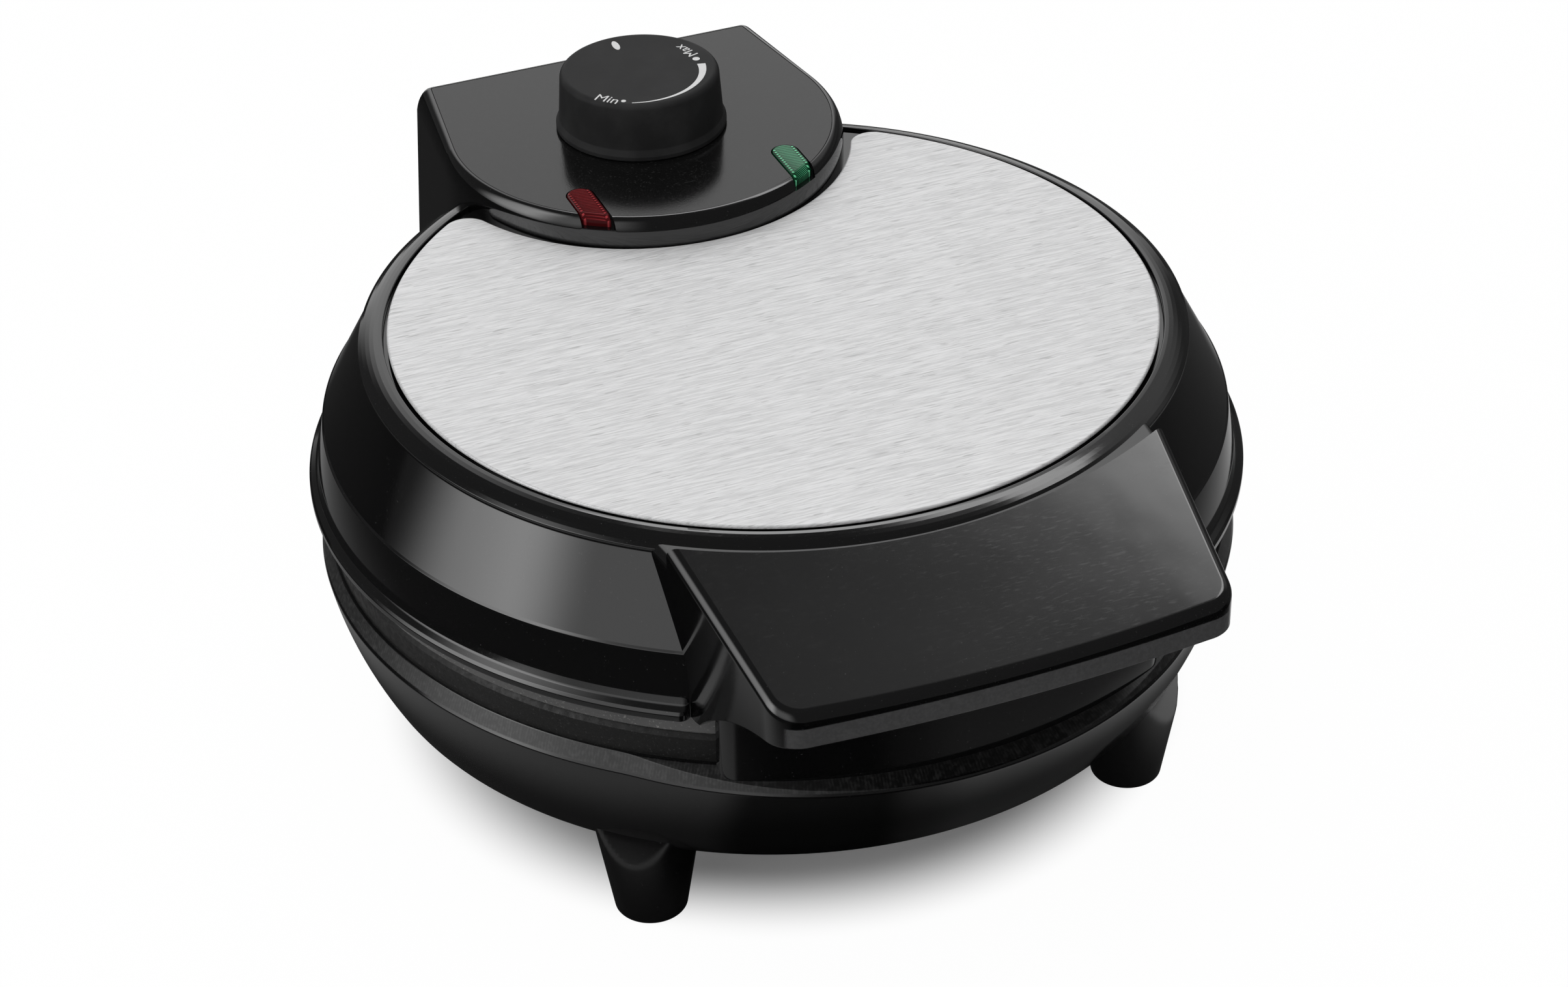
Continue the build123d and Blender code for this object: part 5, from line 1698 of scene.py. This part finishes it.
@dataclass
class Handle:
    """The front handle: a sloping shell with rounded rims, and the shelf between it and the lid's ring."""

    root_half_width: float = 60.8
    root_y: float = -78.0
    front_half_width: float = 54.0
    corner_y: float = -134.2
    front: float = 137.2
    corner: float = 8.0
    corner_room: float = 30.0
    edge: float = 2.4
    wall: float = 2.4
    slope: float = 0.30
    start_y: float = -98.5
    start_z: float = 106.4
    back_arc: float = 144.7
    lip_z: float = 87.2
    skirt_y: float = -112.6
    skirt_z: float = 81.0
    skirt_root_y: float = -97.5
    skirt_root_z: float = 70.0
    shelf_foot_z: float = 76.0

    def side_end(self, inset: float) -> tuple[Array, Array]:
        """Where a side line, drawn in by inset, leaves the back arc, and its direction to the front.

        Args:
            inset: how far it is drawn in.

        Returns:
            The place and the direction, on the right side.
        """
        start = np.array([self.root_half_width, self.root_y])
        end = np.array([self.front_half_width, self.corner_y])
        way = (end - start) / np.linalg.norm(end - start)
        start = start + inset * np.array([way[1], -way[0]])
        middle = np.array([0.0, self.start_y + self.back_arc])
        return start + self.to_circle(start - middle, way, self.back_arc) * way, way

    @staticmethod
    def to_circle(gap: Array, way: Array, radius: float) -> float:
        """How far the line from gap, measured from a circle's middle, runs along way to leave the circle."""
        return -gap @ way + sqrt((gap @ way) ** 2 - gap @ gap + radius**2)

    def rear(self, back: Array) -> Array:
        """The back arc, from the left side's end to the right side's end, back.

        Args:
            back: the right side's end.

        Returns:
            (n, 2) points.
        """
        middle_y = self.start_y + self.back_arc
        turn = atan2(back[1] - middle_y, back[0])
        return arc((0.0, middle_y), self.back_arc, -pi - turn, turn, 60)

    def outline(self, inset: float) -> Array:
        """Plan of the sloping part: right side, front with rounded corners, left side, back arc.

        Args:
            inset: how far it is drawn in.

        Returns:
            (n, 2) points.
        """
        half, depth = self.front_half_width, self.front + self.corner_y
        bow = (half**2 + depth**2) / (2 * depth)
        middle = np.array([0.0, bow - self.front])
        back, way = self.side_end(inset)
        reach = bow - inset
        meet = back + self.to_circle(back - middle, way, reach) * way
        near = atan2(meet[1] - middle[1], meet[0])
        tangent = np.array([sin(near), -cos(near)])
        radius = self.corner - inset
        lean = np.arccos(np.clip(-(way @ tangent), -1, 1)) / 2
        swing = near - radius / np.tan(lean) / reach
        before, after = meet - self.corner_room * way, meet + self.corner_room * tangent
        right = rounded([(*before, 0), (*meet, radius), (*after, 0)], 12)[1:-1]
        front_line = arc((0.0, middle[1]), reach, swing, -pi - swing, 60)[1:-1]
        sides = np.linspace(back, right[0], 24, endpoint=False)[1:]
        flip = np.array([-1.0, 1.0])
        return np.vstack([sides, right, front_line, right[::-1] * flip, sides[::-1] * flip, self.rear(back)])

    def top(self, y: Array) -> Array:
        """Height of the sloping top at y."""
        return self.start_z + self.slope * (y - self.start_y)

    def bottom(self, y: Array) -> Array:
        """Height of the skirt's lower edge: level at the front, then a circle through three of its points.

        Args:
            y: of the points.

        Returns:
            Their heights.
        """
        a = np.array([self.corner_y, self.lip_z])
        b = np.array([self.skirt_y, self.skirt_z])
        c = np.array([self.skirt_root_y, self.skirt_root_z])
        lines = 2 * np.array([b - a, c - a])
        middle = np.linalg.solve(lines, np.array([b @ b - a @ a, c @ c - a @ a]))
        radius = np.linalg.norm(a - middle)
        flank = np.clip(y, self.corner_y, self.skirt_root_y)
        return middle[1] + np.sign(a[1] - middle[1]) * np.sqrt(radius**2 - (flank - middle[0]) ** 2)

    def shell(self) -> Patch:
        """Closed shell: inside ceiling, inner wall, lower rim, outer wall, rounded edge, sloping top.

        Returns:
            The patch.
        """
        rings = []
        for inset, share, drop in self.rows():
            flat = self.outline(inset)
            low, high = self.bottom(flat[:, 1]), self.top(flat[:, 1])
            rings.append(np.column_stack([flat, low + share * (high - low) - drop]))
        return lofted(np.stack(rings))

    def rows(self) -> list[Triple]:
        """(inset, 0 at the lower edge or 1 at the top, drop) of each ring, from inside to outside.

        Returns:
            The rings' values.
        """
        wall = self.wall
        inner = [(wall, 1.0, wall), (wall, 0.0, -0.3)]
        lower = [(wall - 0.1, 0.0, -0.1), (wall - 0.35, 0.0, 0.0), (0.35, 0.0, 0.0), (0.1, 0.0, -0.1),
                 (0.0, 0.0, -0.35)]
        return inner + lower + [(inset, 1.0, -z) for inset, z in top_levels(0.0, self.edge, self.edge, 9)]

    def shelf(self) -> Patch:
        """The level shelf behind the sloping top, down into the dome.

        Returns:
            The patch.
        """

        def plan(inset: float) -> Array:
            """Between the back arc and the handle's root, with the sides drawn in.

            Args:
                inset: how far it is drawn in.

            Returns:
                (n, 2) points.
            """
            back, way = self.side_end(inset)
            root = back + way * ((self.root_y - back[1]) / way[1])
            return np.vstack([self.rear(back), root, root * np.array([-1.0, 1.0])])

        return stacked(plan, [(0.0, self.shelf_foot_z), *top_levels(self.start_z, self.edge, self.edge, 7)])

    def build(self, shop: Workshop) -> None:
        """Makes and dresses the handle."""
        shop.piece("handle_shell", self.shell(), Finishes.HANDLE_BLACK, Body.LID, "gloss_black",
                   extra=[self.shelf()])


@dataclass
class TopPanel:
    """The steel sheet with its round bite for the tower."""

    radius: float = 92.0
    low_z: float = 107.8
    top_z: float = 108.6
    bite_y: float = 90.6
    bite_radius: float = 54.3
    corner: float = 6.0
    under_edge: float = 0.1
    edge: float = 0.6

    def outline(self, inset: float) -> Array:
        """Outer arc, rounded horn, bite arc, rounded horn.

        A horn's circle touches the outer arc from within and the bite from outside, and keeps its middle at
        any inset.

        Args:
            inset: how far it is drawn in.

        Returns:
            (n, 2) points.
        """
        far = self.radius - self.corner
        near = self.bite_radius + self.corner
        y = (far**2 - near**2 + self.bite_y**2) / (2 * self.bite_y)
        x = sqrt(far**2 - y**2)
        outer = atan2(y, x)
        inner = atan2(y - self.bite_y, x)
        main = arc((0, 0), self.radius - inset, pi - outer, 2 * pi + outer, 260)
        horn = arc((x, y), self.corner - inset, outer, inner + pi, 16)[1:-1]
        bite = arc((0, self.bite_y), self.bite_radius + inset, inner, -pi - inner, 120)
        return np.vstack([main, horn, bite, horn[::-1] * np.array([-1.0, 1.0])])

    def build(self, shop: Workshop) -> None:
        """Makes and dresses the panel."""
        sheet = stacked(self.outline, edge_levels(self.low_z, self.top_z, self.under_edge, self.edge))
        shop.piece("steel_panel", sheet, Finishes.STEEL, Body.LID, "brushed_steel", ["top_panel"])


@dataclass
class Knob:
    """The thermostat knob with its skirt and printed scale."""

    bottom_z: float = 115.85
    top_z: float = 131.0
    skirt_radius: float = 21.9
    skirt_height: float = 1.9
    skirt_width: float = 2.6
    base_radius: float = 21.1
    top_radius: float = 20.3
    edge: float = 1.6
    wall: float = 2.2
    print_height: float = 0.05
    print_depth: float = 0.15
    scale_turn: Span = (-154.0, -255.0)
    scale_radius: float = 18.8
    scale_draw: float = 2.9
    scale_half: float = 0.12
    scale_growth: float = 0.95
    scale_power: float = 1.3
    letter_depth: float = 0.02
    letter_thinning: float = -0.002

    def body(self) -> Patch:
        """The cap as one profile: skirt, slightly tapered side, rounded edge, top, and the hollow below.

        Returns:
            The patch.
        """
        top = self.top_z - self.print_height
        shoulder, inner = self.bottom_z + self.skirt_height, self.skirt_radius - self.skirt_width
        profile = rounded([
            (inner, self.bottom_z, 0), (self.skirt_radius, self.bottom_z, 0.4),
            (self.skirt_radius, shoulder - 0.7, 0.5), (self.base_radius, shoulder + 0.9, 0.9),
            (self.top_radius, top, self.edge), (0.0, top, 0)], 8)
        under = rounded([
            (0.0, top - self.wall, 0), (self.top_radius - self.wall, top - self.wall, 1.0),
            (inner, self.bottom_z, 0)], 6)
        return turned(np.vstack([profile, under[:-1]]), even_azimuths(160)).moved(0.0, KNOB_Y)

    def scale(self) -> Patch:
        """The scale's arc, a thin closed strip that widens and comes in as it goes round.

        Azimuth 0 is at the back and grows towards +X: a point is at (r sin a, y + r cos a).

        Returns:
            The patch.
        """
        share = np.linspace(0, 1, 90)
        half = self.scale_half + self.scale_growth * share**self.scale_power
        radius = self.scale_radius - self.scale_draw * share
        turn = np.radians(np.linspace(*self.scale_turn, 90))[:, None]
        reach = np.stack([radius - half, radius + half, radius + half, radius - half], axis=-1)
        low, high = self.top_z - self.print_depth, self.top_z
        height = np.broadcast_to([low, low, high, high], reach.shape)
        return lofted(np.stack([reach * np.sin(turn), KNOB_Y + reach * np.cos(turn), height], -1))

    def spot(
        self, azimuth: float, radius: float, long_half: float, wide_half: float, lean: float = 0.0
    ) -> Patch:
        """Printed oval at an azimuth and radius, its long axis along the radius turned by lean.

        Args:
            azimuth: of its middle, in degrees.
            radius: of its middle.
            long_half: half its length.
            wide_half: half its width.
            lean: in degrees.

        Returns:
            The patch.
        """
        turn = np.linspace(0, 2 * pi, 40, endpoint=False)
        a, axis = radians(azimuth), radians(azimuth + lean)
        u, v = long_half * np.cos(turn), wide_half * np.sin(turn)
        x = radius * sin(a) + u * sin(axis) + v * cos(axis)
        y = KNOB_Y + radius * cos(a) + u * cos(axis) - v * sin(axis)
        return slab(np.column_stack([x, y]), self.top_z - self.print_depth, self.top_z)

    def word(self, text: str, azimuth: float, radius: float, width: float) -> Patch:
        """A short word printed along a circle on the top, its foot away from the knob's middle.

        Args:
            text: the word.
            azimuth: of its middle, in degrees.
            radius: of its middle.
            width: of the word.

        Returns:
            Its letters as closed slabs.
        """
        curve = bpy.data.curves.new("word", "FONT")
        curve.body = text
        curve.align_x = "CENTER"
        curve.align_y = "CENTER"
        curve.offset = self.letter_thinning
        curve.extrude = self.letter_depth
        curve.resolution_u = 4
        obj = linked("word", curve)
        bpy.context.view_layer.update()
        mesh = bpy.data.meshes.new_from_object(obj.evaluated_get(bpy.context.evaluated_depsgraph_get()))
        bpy.data.objects.remove(obj)
        points = np.zeros(len(mesh.vertices) * 3, np.float32)
        mesh.vertices.foreach_get("co", points)
        points = points.reshape(-1, 3).astype(float)
        flat = points[:, :2] - (points[:, :2].min(0) + points[:, :2].max(0)) / 2
        flat = flat * width / np.ptp(flat[:, 0])
        spin = radians(180.0 - azimuth)
        turn = np.array([[cos(spin), sin(spin)], [-sin(spin), cos(spin)]])
        a = radians(azimuth)
        flat = flat @ turn + np.array([radius * sin(a), KNOB_Y + radius * cos(a)])
        z = np.where(points[:, 2] > 0, self.top_z, self.top_z - self.print_depth)
        sides = np.zeros(len(mesh.polygons), np.int32)
        mesh.polygons.foreach_get("loop_total", sides)
        corners = np.zeros(len(mesh.loops), np.int32)
        mesh.loops.foreach_get("vertex_index", corners)
        starts = np.concatenate([[0], np.cumsum(sides)[:-1]])
        faces = [corners[starts[sides == n][:, None] + np.arange(n)] for n in np.unique(sides)]
        return Patch(np.column_stack([flat, z]), faces)

    def build(self, shop: Workshop) -> None:
        """Makes and dresses the cap and its print.

        Args:
            shop: makes the pieces.
        """
        shop.piece("knob_cap", self.body(), Finishes.KNOB_BLACK, Body.KNOB, "knob_black", ["control_knob"])
        prints = [
            self.scale(),
            self.spot(-4.0, 14.5, 2.5, 0.9, lean=8.0),
            self.spot(-147.0, 18.0, 0.62, 0.62),
            self.spot(94.0, 15.2, 0.95, 0.95),
            self.word("Min", -133.5, 18.0, 6.0),
            self.word("Max", 73.0, 15.0, 6.9),
        ]
        shop.piece("knob_print", prints, Finishes.PRINT_WHITE, Body.KNOB, "knob_black")


@dataclass(frozen=True)
class LightPanel:
    """A soft-edged rectangle of light on the studio's walls, in degrees from the front towards +X and up."""

    azimuth: float
    elevation: float
    half_width: float
    half_height: float
    feather: float
    strength: float

    def glow(self, turn: Wire, rise: Wire) -> Wire:
        """Strength of the panel's light in the direction given by turn and rise, in radians.

        Args:
            turn: angle from the front towards +X.
            rise: angle up.

        Returns:
            The strength.
        """
        across = (turn - radians(self.azimuth)).math("COSINE").math("ARCCOSINE")
        upward = abs(rise - radians(self.elevation))
        soft, wide, tall = radians(self.feather), radians(self.half_width), radians(self.half_height)
        inside = across.ramp((wide - soft, wide + soft), FALL)
        return inside * upward.ramp((tall - soft, tall + soft), FALL) * self.strength


Fade = tuple[Span, Span]


@dataclass
class Studio:
    """Floor, white backdrop behind the object, dark sides, soft lights and the camera.

    Distances on the floor and the lamp's places are in metres, angles are in degrees, and the target and
    its distance are in millimetres. A fade takes its first span to its second.
    """

    dark: float = 0.08
    ambient: float = 0.42
    diffuse_share: float = 0.65
    backdrop: LightPanel = LightPanel(165.0, 0.0, 25.0, 90.0, 9.0, 1.0)
    backdrop_end: Span = (0.68, 0.86)
    panels: tuple[LightPanel, ...] = (
        LightPanel(-96.0, 27.0, 18.0, 25.0, 11.0, 2.0),
        LightPanel(-62.0, 27.0, 32.0, 23.0, 14.0, 0.7),
        LightPanel(136.0, 54.0, 39.0, 6.0, 1.5, 2.6),
        LightPanel(118.0, 45.0, 20.0, 22.0, 9.0, 0.28),
    )

    floor_half: float = 20.0
    floor_tone: Colour = (0.92, 0.92, 0.92)
    shown_white: Fade = ((0.077, 0.104), (0.06, 0.98))
    # What gloss and metal see of the floor is painted: a pool of painted light, painted shade over a gap left
    # of the front and over the front further out, and painted light on the right.
    light_pool_start: Fade = ((0.105, 0.14), (0.06, 0.32))
    light_pool_end: Fade = ((0.16, 0.27), (1.0, 0.10))
    shade_gap_turn: float = -18.0
    gap: Fade = ((10.0, 18.0), (0.15, 1.0))
    front_shade_turn: float = 20.0
    ahead: Fade = ((40.0, 55.0), FALL)
    front_shade_end: Fade = ((0.15, 0.18), (0.0, 0.85))
    right: Fade = ((-2.0, 10.0), (1.0, 2.4))

    lamp_place: Triple = (-0.2, 0.1, 1.7)
    lamp_aim: Triple = (0.0, 0.0, 0.06)
    lamp_size: Span = (1.4, 1.2)
    lamp_power: float = 12.0

    azimuth: float = -21.749
    elevation: float = 34.006
    roll: float = -1.247
    focal: float = 5420.6
    image_width: float = 2408.0
    sensor: float = 36.0
    clip: Span = (0.01, 100.0)
    target: Triple = (1.563, -0.621, 55.064)
    distance: float = 872.703

    def camera(self) -> None:
        """Puts the camera where the photograph was taken.

        Its back axis is (sin a cos e, -cos a cos e, sin e), with azimuth a and elevation e, and it is rolled
        about that axis.
        """
        a, e, r = radians(self.azimuth), radians(self.elevation), radians(self.roll)
        back = Vector((sin(a) * cos(e), -cos(a) * cos(e), sin(e)))
        right = Vector((cos(a), sin(a), 0.0))
        up = back.cross(right)
        turned_right = right * cos(r) + up * sin(r)
        turned_up = up * cos(r) - right * sin(r)
        data = bpy.data.cameras.new("camera")
        data.sensor_width = self.sensor
        data.lens = self.focal / self.image_width * self.sensor
        data.clip_start, data.clip_end = self.clip
        obj = linked("camera", data)
        axes = Matrix((turned_right, turned_up, back)).transposed().to_4x4()
        obj.matrix_world = Matrix.Translation((Vector(self.target) + back * self.distance) * MM) @ axes
        bpy.context.scene.camera = obj

    def world(self) -> None:
        """White to the camera and to glass; to gloss and metal white behind the object and dark beside it.

        Soft panels of light stand round the object. To a diffuse surface all of it is one even glow and a
        part of the panels' light.
        """
        world = bpy.data.worlds.new("studio")
        bpy.context.scene.world = world
        world.use_nodes = True
        graph = Graph(world.node_tree)
        x, y, z = graph.split(graph.node("ShaderNodeTexCoord", out="Generated"))
        shown, glossy = graph.rays()
        turn, rise = x.math("ARCTAN2", y * -1.0), z.math("ARCSINE")
        white = self.backdrop.glow(turn, rise) * z.ramp(self.backdrop_end, FALL)
        light: Operand = 0.0
        for panel in self.panels:
            light = panel.glow(turn, rise) + light
        mirrored = white * (1.0 - self.dark) + self.dark + light
        even = light * self.diffuse_share + self.ambient
        strength = shown + (1.0 - shown) * (glossy * mirrored + (1.0 - glossy) * even)
        shine = graph.node("ShaderNodeBackground", None, {"Color": WHITE, "Strength": strength})
        graph.node("ShaderNodeOutputWorld", None, {"Surface": shine})

    def floor(self) -> None:
        """A wide pale floor that keeps the object's shadow, and is white further out to camera and glass.

        Gloss and metal mirror it in a painted tone, by distance from the middle and by the angle from the
        front towards +X: painted shade under the object, a painted pool of light just outside it, and painted
        shade again further out. Painted shade darkens it over a gap a little left of the front and, further
        out, over the whole front, and painted light brightens it on the right.
        """
        half = self.floor_half / MM
        ring = np.array([(-half, -half), (half, -half), (half, half), (-half, half)])
        patch = Patch(np.column_stack([ring, np.zeros(4)]), [np.arange(4)[None]])
        obj = linked("floor", Workshop().mesh("floor", [patch]))
        material = bpy.data.materials.new("floor")
        material.use_nodes = True
        graph = Graph(material.node_tree)
        x, y, _ = graph.split(graph.place())
        distance = (x * x + y * y) ** 0.5
        shown, glossy = graph.rays()
        turn = x.math("ARCTAN2", y * -1.0).math("DEGREES")
        # Painted light and shade in the floor's tone as gloss and metal mirror it.
        painted_gloss_tone = distance.ramp(*self.light_pool_start) * distance.ramp(*self.light_pool_end)
        gap = abs(turn - self.shade_gap_turn).ramp(*self.gap)
        ahead = abs(turn - self.front_shade_turn).ramp(*self.ahead) * distance.ramp(*self.front_shade_end)
        painted_gloss_tone = painted_gloss_tone * gap * (1.0 - ahead) * turn.ramp(*self.right)
        tone = graph.blend(1.0 - glossy * (1.0 - painted_gloss_tone), BLACK, self.floor_tone)
        diffuse = graph.node("ShaderNodeBsdfDiffuse", None, {"Color": tone})
        lift = graph.node("ShaderNodeEmission", None, {"Color": WHITE, "Strength": 1.0})
        white = shown * distance.ramp(*self.shown_white)
        mixed = graph.node("ShaderNodeMixShader", None, {0: white, 1: diffuse, 2: lift})
        graph.node("ShaderNodeOutputMaterial", None, {"Surface": mixed})
        obj.data.materials.append(material)

    def lamp(self) -> None:
        """A rectangular soft lamp over the object, which faces it and isn't mirrored in it."""
        data = bpy.data.lights.new("overhead_softbox", "AREA")
        data.shape = "RECTANGLE"
        data.size, data.size_y = self.lamp_size
        data.energy = self.lamp_power
        obj = linked("overhead_softbox", data)
        obj.rotation_mode = "QUATERNION"
        obj.rotation_quaternion = (Vector(self.lamp_aim) - Vector(self.lamp_place)).to_track_quat("-Z", "Y")
        obj.location = self.lamp_place
        obj.visible_glossy = False

    def build(self) -> None:
        """Sets up the whole studio."""
        self.camera()
        self.world()
        self.floor()
        self.lamp()
        bpy.context.scene.view_settings.view_transform = "Standard"


def dress_cad(shop: Workshop) -> None:
    """Gives every CAD node that stays its finish.

    Args:
        shop: makes the pieces.
    """
    wearers = {
        # The lower plate wears the coating with painted shade.
        Finishes.SHADE_PAINTED_CAST: ["lower_plate"],
        Finishes.CAST: ["upper_plate"],
        Finishes.ELEMENT: ["lower_element", "upper_element"],
        Finishes.REFLECTOR: ["lower_reflector", "upper_reflector", "thermostat_bracket", "thermal_fuse"],
        Finishes.SCREW: ["lower_plate_screws", "upper_plate_screws", "bracket_screws", "cover_screws",
                         "hinge_rod", "fuse_clip", "thermostat_shaft"],
        Finishes.BRASS: ["thermostat_bush", "terminal_screws"],
        Finishes.RUBBER: ["foot_pads", "cord_gland"],
        Finishes.COVER_BLACK: ["rear_cover", "lamp_holders"],
        Finishes.LAMP: ["neon_lamps"],
        Finishes.THERMOSTAT: ["thermostat_body"],
        Finishes.CERAMIC: ["terminal_block"],
    }
    for finish, nodes in wearers.items():
        for node in nodes:
            shop.dress(node, finish)


def main() -> None:
    """Builds every sub-assembly in order, then the studio, and logs how many pieces were made."""
    logging.basicConfig(level=logging.INFO, format="%(name)s %(message)s")
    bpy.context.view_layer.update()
    shop = Workshop()
    BaseHousing().build(shop)
    LidShell().build(shop)
    ControlTower().build(shop)
    Lens(Side.LEFT, "red_lens", Finishes.RED).build(shop)
    Lens(Side.RIGHT, "green_lens", Finishes.GREEN).build(shop)
    Handle().build(shop)
    TopPanel().build(shop)
    Knob().build(shop)
    dress_cad(shop)
    Studio().build()
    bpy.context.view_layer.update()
    log.info("%d pieces made", len(shop.made))


if __name__ == "__main__":
    main()
